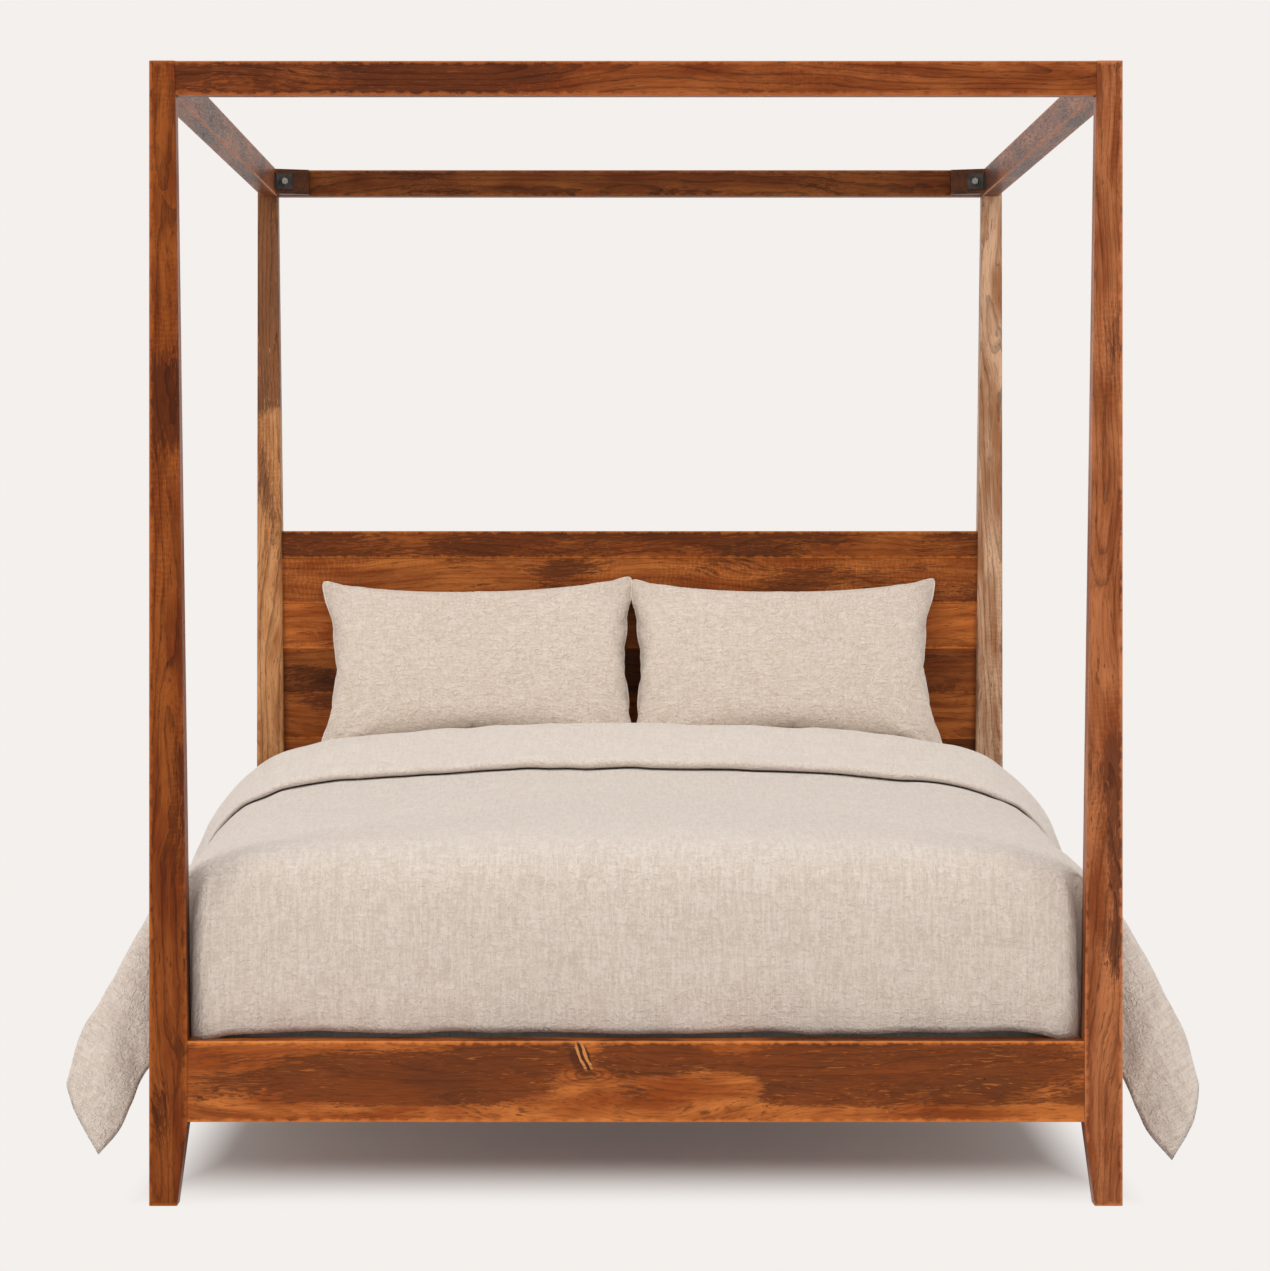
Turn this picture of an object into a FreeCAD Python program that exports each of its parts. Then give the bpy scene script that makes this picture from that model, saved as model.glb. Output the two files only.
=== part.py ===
import FreeCAD, Part
import math
import os
import Sketcher

# Canopy bed with tapered posts, a boarded headboard, slats, mattress and linen bedding.
# The foot end faces -Y, the headboard faces +Y, and the origin is on the floor under the middle of the bed.

SIZES = {
    # Mattress, which sets the width and the length of the frame, and the room left around it
    "mattress_width": 1524,
    "mattress_length": 2032,
    "mattress_height": 250,
    "mattress_corner": 60,
    "mattress_round": 28,
    "mattress_side_gap": 48,
    "mattress_head_gap": 8,
    "mattress_foot_gap": 38,
    "foundation_height": 100,
    "foundation_inset": 6,
    "bed_height": 2032,
    # Posts: square sections that taper on the two inner faces
    "post_top": 46,
    "post_base": 68,
    "post_foot": 50,
    "post_round": 5,
    # Lower rails
    "rail_bottom": 148,
    "rail_height": 144,
    "end_rail_thickness": 56,
    "end_rail_reveal": 3,
    "side_rail_thickness": 46,
    "side_rail_reveal": 8,
    "rail_round": 4,
    "tenon_length": 28,
    "tenon_thickness": 24,
    "tenon_shoulder": 16,
    "side_tenon_length": 12,
    # Canopy rails
    "canopy_rail_height": 61,
    "canopy_end_thickness": 40,
    "canopy_end_reveal": 3,
    "canopy_side_thickness": 38,
    "canopy_round": 3,
    "stub_length": 11,
    "stub_thickness": 18,
    "stub_shoulder": 12,
    # Corner blocks and steel brackets at the head end of the canopy
    "block_length": 75,
    "block_deep": 58,
    "block_shallow": 30,
    "block_height": 57,
    "block_relief": 6,
    "bracket_thickness": 3,
    "bracket_height": 36,
    "bracket_leaf": 40,
    "bracket_rail_leaf": 28,
    "canopy_bolt_radius": 4,
    "canopy_bolt_length": 36,
    "bolt_head_radius": 8,
    "bolt_head_height": 5,
    "washer_radius": 12,
    "washer_thickness": 2,
    # Hanger bolts that draw the side rails to the posts
    "rail_bolt_radius": 4,
    "rail_bolt_embed": 36,
    "rail_bolt_tail": 5,
    "nut_wall": 34,
    "nut_pocket_length": 32,
    "nut_pocket_height": 34,
    "plate_washer_size": 26,
    "plate_washer_thickness": 3,
    "nut_radius": 7.5,
    "nut_height": 6.5,
    # Headboard
    "headboard_top": 1194,
    "top_board_height": 64,
    "board_thickness": 22,
    "board_setback": 12,
    "board_housing": 18,
    "board_bevel": 2,
    "board_tongue_thickness": 7,
    "board_tongue_height": 6,
    "batten_width": 60,
    "batten_thickness": 18,
    "batten_spacing": 820,
    # Slats and what carries them
    "slat_drop": 68,
    "slat_width": 90,
    "slat_thickness": 20,
    "slat_margin": 60,
    "slat_bevel": 2,
    "cleat_width": 30,
    "cleat_height": 30,
    "beam_width": 40,
    "beam_height": 50,
    "saddle_thickness": 3,
    "saddle_depth": 40,
    "leg_size": 45,
    "leg_tenon_radius": 10,
    "leg_tenon_length": 25,
    "glide_size": 40,
    "glide_height": 6,
    # Duvet
    "duvet_crown": 66,
    "duvet_crest": 190,
    "duvet_spread": 284,
    "duvet_hem": 190,
    "duvet_thickness": 36,
    "duvet_hem_gap": 8,
    "duvet_foot_bulge": 22,
    "duvet_foot_roll": 70,
    "duvet_band_length": 325,
    "duvet_head_gap": 140,
    "duvet_band_gap": 12,
    # Pillows
    "pillow_height": 470,
    "pillow_thickness": 165,
    "pillow_gap": 3,
    "pillow_side_gap": 49.5,
    # Clearances, and the overrun that all cuts share
    "fit_clearance": 0.25,
    "cloth_clearance": 4,
    "pillow_clearance": 0.4,
    "overrun": 20,
}

SLAT_COUNT = 10
LOWER_BOARD_COUNT = 8
PILLOW_LEAN_DEGREES = 31
SIDE_NAMES = {-1: "left", 1: "right"}
END_NAMES = {-1: "foot", 1: "head"}

doc = FreeCAD.newDocument("canopy_bed")
dims = doc.addObject("Spreadsheet::Sheet", "dims")
for row, (size_name, length) in enumerate(SIZES.items(), 1):
    dims.set(f"B{row}", str(length))
    dims.setAlias(f"B{row}", size_name)
doc.recompute()

nodes = []

# Shared places, as expressions of the sheet
half_width = ("(dims.mattress_width / 2 + dims.mattress_side_gap + dims.side_rail_thickness"
              " + dims.side_rail_reveal)")
half_inside = ("((dims.mattress_length + dims.mattress_head_gap + dims.mattress_foot_gap"
               " - dims.board_setback) / 2)")
half_length = f"({half_inside} + dims.end_rail_thickness + dims.end_rail_reveal)"
rail_top = "(dims.rail_bottom + dims.rail_height)"
rail_middle = "(dims.rail_bottom + dims.rail_height / 2)"
post_inner_x = f"({half_width} - dims.post_base)"
post_inner_y = f"({half_length} - dims.post_base)"
end_rail_outer = f"({half_length} - dims.end_rail_reveal)"
end_rail_inner = f"({end_rail_outer} - dims.end_rail_thickness)"
side_rail_outer = f"({half_width} - dims.side_rail_reveal)"
side_rail_inner = f"({side_rail_outer} - dims.side_rail_thickness)"
side_rail_middle = f"({side_rail_outer} - dims.side_rail_thickness / 2)"
canopy_bottom = "(dims.bed_height - dims.canopy_rail_height)"
canopy_side_inner = f"({half_width} - dims.post_top)"
canopy_side_middle = f"({canopy_side_inner} + dims.canopy_side_thickness / 2)"
canopy_end_outer = f"({half_length} - dims.canopy_end_reveal)"
canopy_end_inner = f"({canopy_end_outer} - dims.canopy_end_thickness)"
board_front = f"({end_rail_inner} + dims.board_setback)"
board_back = f"({board_front} + dims.board_thickness)"
board_end = f"({post_inner_x} + dims.board_housing)"
lower_board_height = f"((dims.headboard_top - dims.top_board_height - {rail_top}) / {LOWER_BOARD_COUNT})"
slat_top = f"({rail_top} - dims.slat_drop)"
slat_bottom = f"({slat_top} - dims.slat_thickness)"
beam_bottom = f"({slat_bottom} - dims.beam_height)"
beam_end = f"({end_rail_inner} - dims.fit_clearance)"
foundation_top = f"({slat_top} + dims.foundation_height)"
mattress_top = f"({foundation_top} + dims.mattress_height)"
mattress_head = f"({board_front} - dims.mattress_head_gap)"
mattress_foot = f"({mattress_head} - dims.mattress_length)"
duvet_drop = f"({mattress_top} - dims.duvet_hem)"
pillow_width = "(dims.mattress_width / 2 - dims.pillow_gap / 2 - dims.pillow_side_gap)"
pillow_back = f"({board_front} - dims.pillow_clearance)"
pillow_front = f"({pillow_back} - dims.pillow_height * sin({PILLOW_LEAN_DEGREES} deg))"


def post_width_at(height):
    """Width of a post's tapered length at a height above the lower rails."""
    return (f"(dims.post_top + (dims.post_base - dims.post_top) * (dims.bed_height - {height})"
            f" / (dims.bed_height - {rail_top}))")


def number(expression):
    """Value of an expression of the sheet."""
    return float(dims.evalExpression(expression))


def size(name):
    """One size of the sheet."""
    return number(f"dims.{name}")


def origin_plane(body, role):
    return next(feature for feature in body.Origin.OriginFeatures if feature.Role == role)


def new_body(name):
    """A body whose label names its file."""
    body = doc.addObject("PartDesign::Body", name)
    body.Label = name
    nodes.append(body)
    return body


def add_node(kind, name):
    """A document object, not a body, whose label names its file."""
    node = doc.addObject(kind, name)
    node.Label = name
    nodes.append(node)
    return node


def empty_sketch(body, plane, place):
    """A sketch on a plane of the body's origin, moved to a place along the axis that it faces."""
    sketch = body.newObject("Sketcher::SketchObject", "sketch")
    sketch.AttachmentSupport = [(origin_plane(body, plane), "")]
    sketch.MapMode = "FlatFace"
    # The XZ plane faces -Y, so its offset runs the other way.
    offset = f"-({place})" if plane == "XZ_Plane" else place
    sketch.setExpression("AttachmentOffset.Base.z", offset)
    return sketch


def fix_point(sketch, geometry, point, across, up):
    """Ties one point of a sketch to two distances from its origin."""
    for kind, expression in (("DistanceX", across), ("DistanceY", up)):
        index = sketch.addConstraint(Sketcher.Constraint(kind, -1, 1, geometry, point, number(expression)))
        sketch.setExpression(f"Constraints[{index}]", expression)


def polygon_sketch(body, plane, place, corners):
    """A closed outline of straight lines, each corner given as two expressions."""
    sketch = empty_sketch(body, plane, place)
    points = [FreeCAD.Vector(number(across), number(up), 0) for across, up in corners]
    count = len(points)
    for index in range(count):
        sketch.addGeometry(Part.LineSegment(points[index], points[(index + 1) % count]))
    for index in range(count):
        sketch.addConstraint(Sketcher.Constraint("Coincident", index, 2, (index + 1) % count, 1))
    for index, (across, up) in enumerate(corners):
        fix_point(sketch, index, 1, across, up)
    return sketch


def rectangle_sketch(body, plane, place, low, high):
    """A rectangle between two corners."""
    corners = [low, (high[0], low[1]), high, (low[0], high[1])]
    return polygon_sketch(body, plane, place, corners)


def circle_sketch(body, plane, place, centres, radius):
    """Equal circles at the given centres."""
    sketch = empty_sketch(body, plane, place)
    for index, (across, up) in enumerate(centres):
        centre = FreeCAD.Vector(number(across), number(up), 0)
        sketch.addGeometry(Part.Circle(centre, FreeCAD.Vector(0, 0, 1), number(radius)))
        fix_point(sketch, index, 3, across, up)
        constraint = sketch.addConstraint(Sketcher.Constraint("Radius", index, number(radius)))
        sketch.setExpression(f"Constraints[{constraint}]", radius)
    return sketch


def rounded_square_sketch(body, height, low, high, radius):
    """A rectangle with round corners on the XY plane at a height, for the sections of a post."""
    sketch = empty_sketch(body, "XY_Plane", height)
    sides = sorted((low[0], high[0]), key=number) + sorted((low[1], high[1]), key=number)
    left, right, front, back = [number(place) for place in sides]
    round_size = number(radius)
    quarter = math.pi / 2
    centres = [(left + round_size, front + round_size), (right - round_size, front + round_size),
               (right - round_size, back - round_size), (left + round_size, back - round_size)]
    corners = [Part.ArcOfCircle(Part.Circle(FreeCAD.Vector(x, y, 0), FreeCAD.Vector(0, 0, 1), round_size),
                                (index + 2) * quarter, (index + 3) * quarter)
               for index, (x, y) in enumerate(centres)]
    for index, corner in enumerate(corners):
        sketch.addGeometry(corner)
        sketch.addGeometry(Part.LineSegment(corner.EndPoint, corners[(index + 1) % 4].StartPoint))
    for index in range(8):
        sketch.addConstraint(Sketcher.Constraint("Tangent", index, 2, (index + 1) % 8, 1))
    for index in (2, 4, 6):
        sketch.addConstraint(Sketcher.Constraint("Equal", 0, index))
    constraint = sketch.addConstraint(Sketcher.Constraint("Radius", 0, round_size))
    sketch.setExpression(f"Constraints[{constraint}]", radius)
    for line, kind in ((1, "Horizontal"), (3, "Vertical"), (5, "Horizontal"), (7, "Vertical")):
        sketch.addConstraint(Sketcher.Constraint(kind, line))
    for line, kind, expression in ((7, "DistanceX", sides[0]), (3, "DistanceX", sides[1]),
                                   (1, "DistanceY", sides[2]), (5, "DistanceY", sides[3])):
        constraint = sketch.addConstraint(Sketcher.Constraint(kind, -1, 1, line, 1, number(expression)))
        sketch.setExpression(f"Constraints[{constraint}]", expression)
    return sketch


# The direction, along its axis, in which a pad on each origin plane grows unless it is reversed
PAD_DIRECTIONS = {"XY_Plane": 1, "XZ_Plane": -1, "YZ_Plane": 1}


def grow(body, sketch, plane, length, toward=1):
    """Pads a sketch toward the positive or negative end of its axis."""
    pad = body.newObject("PartDesign::Pad", "pad")
    pad.Profile = sketch
    pad.Reversed = PAD_DIRECTIONS[plane] != toward
    pad.setExpression("Length", length)
    return pad


def cut(body, sketch, plane, toward, length=None):
    """Cuts a sketch away toward one end of its axis, right through unless a length is given."""
    pocket = body.newObject("PartDesign::Pocket", "pocket")
    pocket.Profile = sketch
    pocket.Reversed = PAD_DIRECTIONS[plane] == toward
    if length is None:
        pocket.Type = "ThroughAll"
    else:
        pocket.setExpression("Length", length)
    return pocket


EASING_SIZES = {"Fillet": "Radius", "Chamfer": "Size"}


def ease_edges(body, kind, width, wanted):
    """Rounds or chamfers the edges of the body's last feature that a test picks."""
    doc.recompute()
    base = body.Tip
    names = [f"Edge{index}" for index, edge in enumerate(base.Shape.Edges, 1) if wanted(edge, base.Shape)]
    easing = body.newObject(f"PartDesign::{kind}", kind.lower())
    easing.Base = (base, names)
    easing.setExpression(EASING_SIZES[kind], width)


LONG_EDGE_SHARE = 0.8


def extents(shape):
    box = shape.BoundBox
    return (box.XLength, box.YLength, box.ZLength)


def runs_along(axis):
    """A test for the straight edges that run most of a piece's length along an axis."""
    def test(edge, shape):
        is_straight = edge.Curve.TypeId == "Part::GeomLine"
        return is_straight and extents(edge)[axis] > LONG_EDGE_SHARE * extents(shape)[axis]
    return test


def lies_level(edge, shape):
    """A test for the edges of an upright block's top and bottom."""
    return extents(edge)[2] < LONG_EDGE_SHARE * extents(shape)[2]


def cross(side, expression):
    """An expression on the left (-1) or right (1) side, or at the foot (-1) or head (1) end."""
    return f"{side} * ({expression})"


def fit(expression, ways=1):
    """A size or place with the fit's clearance added once, or taken away where ways is -1."""
    return f"({expression} + {ways} * dims.fit_clearance)"


def make_bar(name, axis, low, high, bevel=None):
    """A plain bar along X, Y or Z between two corners, with its long edges bevelled if a width is given."""
    body = new_body(name)
    plane, across, up = {"X": ("YZ_Plane", 1, 2), "Y": ("XZ_Plane", 0, 2), "Z": ("XY_Plane", 0, 1)}[axis]
    along = "XYZ".index(axis)
    sketch = rectangle_sketch(body, plane, low[along], (low[across], low[up]), (high[across], high[up]))
    grow(body, sketch, plane, f"({high[along]}) - ({low[along]})")
    if bevel:
        ease_edges(body, "Chamfer", bevel, runs_along(along))
    return body


# Posts


def make_post(side, end):
    """A post lofted straight between four rounded sections, with its mortises, bolt holes and groove."""
    body = new_body(f"{END_NAMES[end]}_post_{SIDE_NAMES[side]}")
    sections = []
    for height, width in (("0", "dims.post_foot"), ("dims.rail_bottom", "dims.post_base"),
                          (rail_top, "dims.post_base"), ("dims.bed_height", "dims.post_top")):
        outer = (cross(side, half_width), cross(end, half_length))
        inner = (cross(side, f"{half_width} - {width}"), cross(end, f"{half_length} - {width}"))
        sections.append(rounded_square_sketch(body, height, inner, outer, "dims.post_round"))
    loft = body.newObject("PartDesign::AdditiveLoft", "loft")
    loft.Profile = sections[0]
    loft.Sections = sections[1:]
    loft.Ruled = True

    # Mortise for the end rail's tenon
    tenon_middle = f"({end_rail_outer} - dims.end_rail_thickness / 2)"
    half_tenon = fit("dims.tenon_thickness / 2")
    low = (cross(end, f"{tenon_middle} - {half_tenon}"), fit("dims.rail_bottom + dims.tenon_shoulder", -1))
    high = (cross(end, f"{tenon_middle} + {half_tenon}"), fit(f"{rail_top} - dims.tenon_shoulder"))
    bottom = cross(side, fit(f"{post_inner_x} + dims.tenon_length"))
    cut(body, rectangle_sketch(body, "YZ_Plane", bottom, low, high), "YZ_Plane", -side)

    # Shallow mortise and bolt hole for the side rail
    low = (cross(side, f"{side_rail_middle} - {half_tenon}"), low[1])
    high = (cross(side, f"{side_rail_middle} + {half_tenon}"), high[1])
    bottom = cross(end, fit(f"{post_inner_y} + dims.side_tenon_length"))
    cut(body, rectangle_sketch(body, "XZ_Plane", bottom, low, high), "XZ_Plane", -end)
    bottom = cross(end, fit(f"{post_inner_y} + dims.rail_bolt_embed"))
    hole = circle_sketch(body, "XZ_Plane", bottom, [(cross(side, side_rail_middle), rail_middle)],
                         fit("dims.rail_bolt_radius"))
    cut(body, hole, "XZ_Plane", -end)

    # Mortises for the stub tenons of the two canopy rails
    half_stub = fit("dims.stub_thickness / 2")
    stub_low = fit(f"{canopy_bottom} + dims.stub_shoulder", -1)
    stub_high = fit("dims.bed_height - dims.stub_shoulder")
    stub_middle = f"({canopy_end_outer} - dims.canopy_end_thickness / 2)"
    low = (cross(end, f"{stub_middle} - {half_stub}"), stub_low)
    high = (cross(end, f"{stub_middle} + {half_stub}"), stub_high)
    bottom = cross(side, fit(f"{half_width} - dims.post_top + dims.stub_length"))
    cut(body, rectangle_sketch(body, "YZ_Plane", bottom, low, high), "YZ_Plane", -side)
    low = (cross(side, f"{canopy_side_middle} - {half_stub}"), stub_low)
    high = (cross(side, f"{canopy_side_middle} + {half_stub}"), stub_high)
    bottom = cross(end, fit(f"{half_length} - dims.post_top + dims.stub_length"))
    cut(body, rectangle_sketch(body, "XZ_Plane", bottom, low, high), "XZ_Plane", -end)

    # Stopped groove that houses the ends of the headboard
    if end == 1:
        low = (fit(board_front, -1), rail_top)
        high = (fit(board_back), fit("dims.headboard_top"))
        groove = rectangle_sketch(body, "YZ_Plane", cross(side, fit(board_end)), low, high)
        cut(body, groove, "YZ_Plane", -side)


# Lower rails


def make_end_rail(end):
    """The foot or head rail, tenoned into the posts."""
    body = new_body(f"{END_NAMES[end]}_rail")
    faces = sorted((cross(end, end_rail_inner), cross(end, end_rail_outer)), key=number)
    low, high = (faces[0], "dims.rail_bottom"), (faces[1], rail_top)
    bar = rectangle_sketch(body, "YZ_Plane", cross(-1, post_inner_x), low, high)
    grow(body, bar, "YZ_Plane", f"2 * {post_inner_x}")
    ease_edges(body, "Fillet", "dims.rail_round", runs_along(0))
    middle = f"({end_rail_outer} - dims.end_rail_thickness / 2)"
    low = (cross(end, f"{middle} - dims.tenon_thickness / 2"), "dims.rail_bottom + dims.tenon_shoulder")
    high = (cross(end, f"{middle} + dims.tenon_thickness / 2"), f"{rail_top} - dims.tenon_shoulder")
    tenon = rectangle_sketch(body, "YZ_Plane", cross(-1, f"{post_inner_x} + dims.tenon_length"), low, high)
    grow(body, tenon, "YZ_Plane", f"2 * ({post_inner_x} + dims.tenon_length)")


nut_seat = f"({post_inner_y} - dims.nut_wall)"
nut_pocket_end = f"({nut_seat} - dims.nut_pocket_length)"
rail_bolt_end = f"({nut_seat} - dims.plate_washer_thickness - dims.nut_height - dims.rail_bolt_tail)"


def make_side_rail(side):
    """A side rail with a stub tenon, a bore and an open nut pocket at each end."""
    body = new_body(f"side_rail_{SIDE_NAMES[side]}")
    faces = sorted((cross(side, side_rail_inner), cross(side, side_rail_outer)), key=number)
    bar = rectangle_sketch(body, "XZ_Plane", cross(-1, post_inner_y),
                           (faces[0], "dims.rail_bottom"), (faces[1], rail_top))
    grow(body, bar, "XZ_Plane", f"2 * {post_inner_y}")
    ease_edges(body, "Fillet", "dims.rail_round", runs_along(1))
    half_tenon = "dims.tenon_thickness / 2"
    tenon = rectangle_sketch(
        body, "XZ_Plane", cross(-1, f"{post_inner_y} + dims.side_tenon_length"),
        (f"{cross(side, side_rail_middle)} - {half_tenon}", "dims.rail_bottom + dims.tenon_shoulder"),
        (f"{cross(side, side_rail_middle)} + {half_tenon}", f"{rail_top} - dims.tenon_shoulder"))
    grow(body, tenon, "XZ_Plane", f"2 * ({post_inner_y} + dims.side_tenon_length)")
    for end in (-1, 1):
        bore = circle_sketch(body, "XZ_Plane", cross(end, nut_pocket_end),
                             [(cross(side, side_rail_middle), rail_middle)], fit("dims.rail_bolt_radius"))
        cut(body, bore, "XZ_Plane", end)
        low = (cross(end, nut_pocket_end), f"{rail_middle} - dims.nut_pocket_height / 2")
        high = (cross(end, nut_seat), f"{rail_middle} + dims.nut_pocket_height / 2")
        depth = cross(side, fit(f"{side_rail_middle} + dims.plate_washer_size / 2"))
        cut(body, rectangle_sketch(body, "YZ_Plane", depth, low, high), "YZ_Plane", -side)


def each_rail_bolt():
    """Side and end of every hanger bolt."""
    return [(side, end) for side in (-1, 1) for end in (-1, 1)]


def put(part, x, y, z):
    """Ties a primitive's place to the sheet."""
    for axis, expression in zip("xyz", (x, y, z)):
        part.setExpression(f"Placement.Base.{axis}", expression)


def lay_along_y(part):
    """Turns a primitive that is drawn along Z to lie along Y."""
    part.Placement = FreeCAD.Placement(FreeCAD.Vector(), FreeCAD.Rotation(FreeCAD.Vector(1, 0, 0), -90))


def cylinder(radius, length):
    part = doc.addObject("Part::Cylinder", "cylinder")
    part.setExpression("Radius", radius)
    part.setExpression("Height", length)
    return part


def subtract(base, tool):
    part = doc.addObject("Part::Cut", "cut")
    part.Base = base
    part.Tool = tool
    return part


def group(name, parts):
    """A node that holds separate equal solids."""
    node = add_node("Part::Compound", name)
    node.Links = parts


def start_along_y(end, near, length):
    """Lower Y of a piece that starts at a distance from the middle and runs inward from one end."""
    return cross(1, near) + f" - ({length})" if end == 1 else cross(-1, near)


def rail_bolt(side, end):
    length = f"({post_inner_y} + dims.rail_bolt_embed - {rail_bolt_end})"
    bolt = cylinder("dims.rail_bolt_radius", length)
    lay_along_y(bolt)
    start = start_along_y(end, f"{post_inner_y} + dims.rail_bolt_embed", length)
    put(bolt, cross(side, side_rail_middle), start, rail_middle)
    return bolt


def rail_bolt_hole(side, end):
    """A cutter for the hole of a washer or a nut on a hanger bolt."""
    length = "(dims.nut_pocket_length + dims.nut_wall)"
    hole = cylinder(fit("dims.rail_bolt_radius"), length)
    lay_along_y(hole)
    start = start_along_y(end, post_inner_y, length)
    put(hole, cross(side, side_rail_middle), start, rail_middle)
    return hole


def plate_washer(side, end):
    plate = doc.addObject("Part::Box", "plate")
    for side_name, measure in (("Length", "size"), ("Width", "thickness"), ("Height", "size")):
        plate.setExpression(side_name, f"dims.plate_washer_{measure}")
    put(plate, f"{cross(side, side_rail_middle)} - dims.plate_washer_size / 2",
        start_along_y(end, nut_seat, "dims.plate_washer_thickness"),
        f"{rail_middle} - dims.plate_washer_size / 2")
    return subtract(plate, rail_bolt_hole(side, end))


def rail_nut(side, end):
    nut = doc.addObject("Part::Prism", "nut")
    nut.Polygon = 6
    nut.setExpression("Circumradius", "dims.nut_radius")
    nut.setExpression("Height", "dims.nut_height")
    lay_along_y(nut)
    start = start_along_y(end, f"{nut_seat} - dims.plate_washer_thickness", "dims.nut_height")
    put(nut, cross(side, side_rail_middle), start, rail_middle)
    return subtract(nut, rail_bolt_hole(side, end))


def make_rail_fasteners():
    group("side_rail_bolts", [rail_bolt(*place) for place in each_rail_bolt()])
    group("side_rail_plate_washers", [plate_washer(*place) for place in each_rail_bolt()])
    group("side_rail_nuts", [rail_nut(*place) for place in each_rail_bolt()])


# Canopy rails


def make_canopy_rail(name, plane, middle, thickness, reach):
    """A canopy rail whose ends follow the taper of the posts, with a stub tenon on each."""
    body = new_body(name)
    top_end = f"({reach} - dims.post_top)"
    low_end = f"({reach} - {post_width_at(canopy_bottom)})"
    corners = [(cross(-1, low_end), canopy_bottom), (low_end, canopy_bottom),
               (top_end, "dims.bed_height"), (cross(-1, top_end), "dims.bed_height")]
    grow(body, polygon_sketch(body, plane, f"{middle} - {thickness} / 2", corners), plane, thickness)
    ease_edges(body, "Fillet", "dims.canopy_round", runs_along(0 if plane == "XZ_Plane" else 1))
    stub_end = f"({top_end} + dims.stub_length)"
    low = (cross(-1, stub_end), f"{canopy_bottom} + dims.stub_shoulder")
    high = (stub_end, "dims.bed_height - dims.stub_shoulder")
    stub = rectangle_sketch(body, plane, f"{middle} - dims.stub_thickness / 2", low, high)
    grow(body, stub, plane, "dims.stub_thickness")


def make_canopy():
    for end in (-1, 1):
        middle = cross(end, f"{canopy_end_outer} - dims.canopy_end_thickness / 2")
        make_canopy_rail(f"canopy_rail_{END_NAMES[end]}", "XZ_Plane", middle, "dims.canopy_end_thickness",
                         half_width)
    for side in (-1, 1):
        middle = cross(side, canopy_side_middle)
        make_canopy_rail(f"canopy_rail_{SIDE_NAMES[side]}", "YZ_Plane", middle, "dims.canopy_side_thickness",
                         half_length)


# Corner blocks and brackets, laid out by the distance in from the side rail and out from the head rail
block_slope = "(dims.block_deep - dims.block_shallow)"
block_face = f"sqrt(dims.block_length ^ 2 + {block_slope} ^ 2)"
face_across = f"({block_slope} / {block_face})"
face_along = f"(dims.block_length / {block_face})"
bracket_middle = "(dims.bed_height - dims.canopy_rail_height / 2)"


def corner_point(side, inward, outward):
    """A point in plan from its distances to the side rail's face and to the head rail's face."""
    return (cross(side, f"{canopy_side_inner} - ({inward})"), f"{canopy_end_inner} - ({outward})")


def make_block_body(side):
    body = doc.addObject("PartDesign::Body", f"corner_block_blank_{SIDE_NAMES[side]}")
    # The relief keeps the block's back corner off the post.
    corners = [corner_point(side, "0", "dims.block_relief"), corner_point(side, "0", "dims.block_deep"),
               corner_point(side, "dims.block_length", "dims.block_shallow"),
               corner_point(side, "dims.block_length", "0"), corner_point(side, "dims.block_relief", "0")]
    outline = polygon_sketch(body, "XY_Plane", f"{bracket_middle} - dims.block_height / 2", corners)
    grow(body, outline, "XY_Plane", "dims.block_height")
    return body


def make_bracket_body(side):
    """A bent plate with one leaf on the block's slanted face and one on the side rail."""
    body = doc.addObject("PartDesign::Body", f"bracket_blank_{SIDE_NAMES[side]}")
    thick, leaf, rail_leaf = "dims.bracket_thickness", "dims.bracket_leaf", "dims.bracket_rail_leaf"
    corners = [
        corner_point(side, "0", "dims.block_deep"),
        corner_point(side, f"{leaf} * {face_along}", f"dims.block_deep - {leaf} * {face_across}"),
        corner_point(side, f"{leaf} * {face_along} + {thick} * {face_across}",
                     f"dims.block_deep - {leaf} * {face_across} + {thick} * {face_along}"),
        corner_point(side, thick, f"dims.block_deep + {thick} * (1 - {face_across}) / {face_along}"),
        corner_point(side, thick, f"dims.block_deep + {rail_leaf}"),
        corner_point(side, "0", f"dims.block_deep + {rail_leaf}"),
    ]
    outline = polygon_sketch(body, "XY_Plane", f"{bracket_middle} - dims.bracket_height / 2", corners)
    grow(body, outline, "XY_Plane", "dims.bracket_height")
    return body


def face_placement(side, height):
    """Place of a piece that stands out from the block's slanted face, at a height above it."""
    along = "(dims.bracket_leaf / 2)"
    inward = f"{along} * {face_along} + ({height}) * {face_across}"
    outward = f"dims.block_deep - {along} * {face_across} + ({height}) * {face_along}"
    x, y = corner_point(side, inward, outward)
    normal = FreeCAD.Vector(-side * number(face_across), -number(face_along), 0)
    turn = FreeCAD.Rotation(FreeCAD.Vector(0, 0, 1), normal)
    return FreeCAD.Placement(FreeCAD.Vector(number(x), number(y), number(bracket_middle)), turn)


def on_face(part, side, height):
    part.Placement = face_placement(side, height)
    return part


def canopy_bolt_hole(side):
    hole = cylinder(fit("dims.canopy_bolt_radius"), "dims.canopy_bolt_length + dims.overrun")
    return on_face(hole, side, fit("-dims.canopy_bolt_length", -1))


def canopy_bolt(side):
    shank = on_face(cylinder("dims.canopy_bolt_radius", "dims.canopy_bolt_length"
                             " + dims.bracket_thickness + dims.washer_thickness"),
                    side, "-dims.canopy_bolt_length")
    head = doc.addObject("Part::Prism", "head")
    head.Polygon = 6
    head.setExpression("Circumradius", "dims.bolt_head_radius")
    head.setExpression("Height", "dims.bolt_head_height")
    on_face(head, side, "dims.bracket_thickness + dims.washer_thickness")
    bolt = doc.addObject("Part::Fuse", "bolt")
    bolt.Base = shank
    bolt.Tool = head
    return bolt


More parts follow.
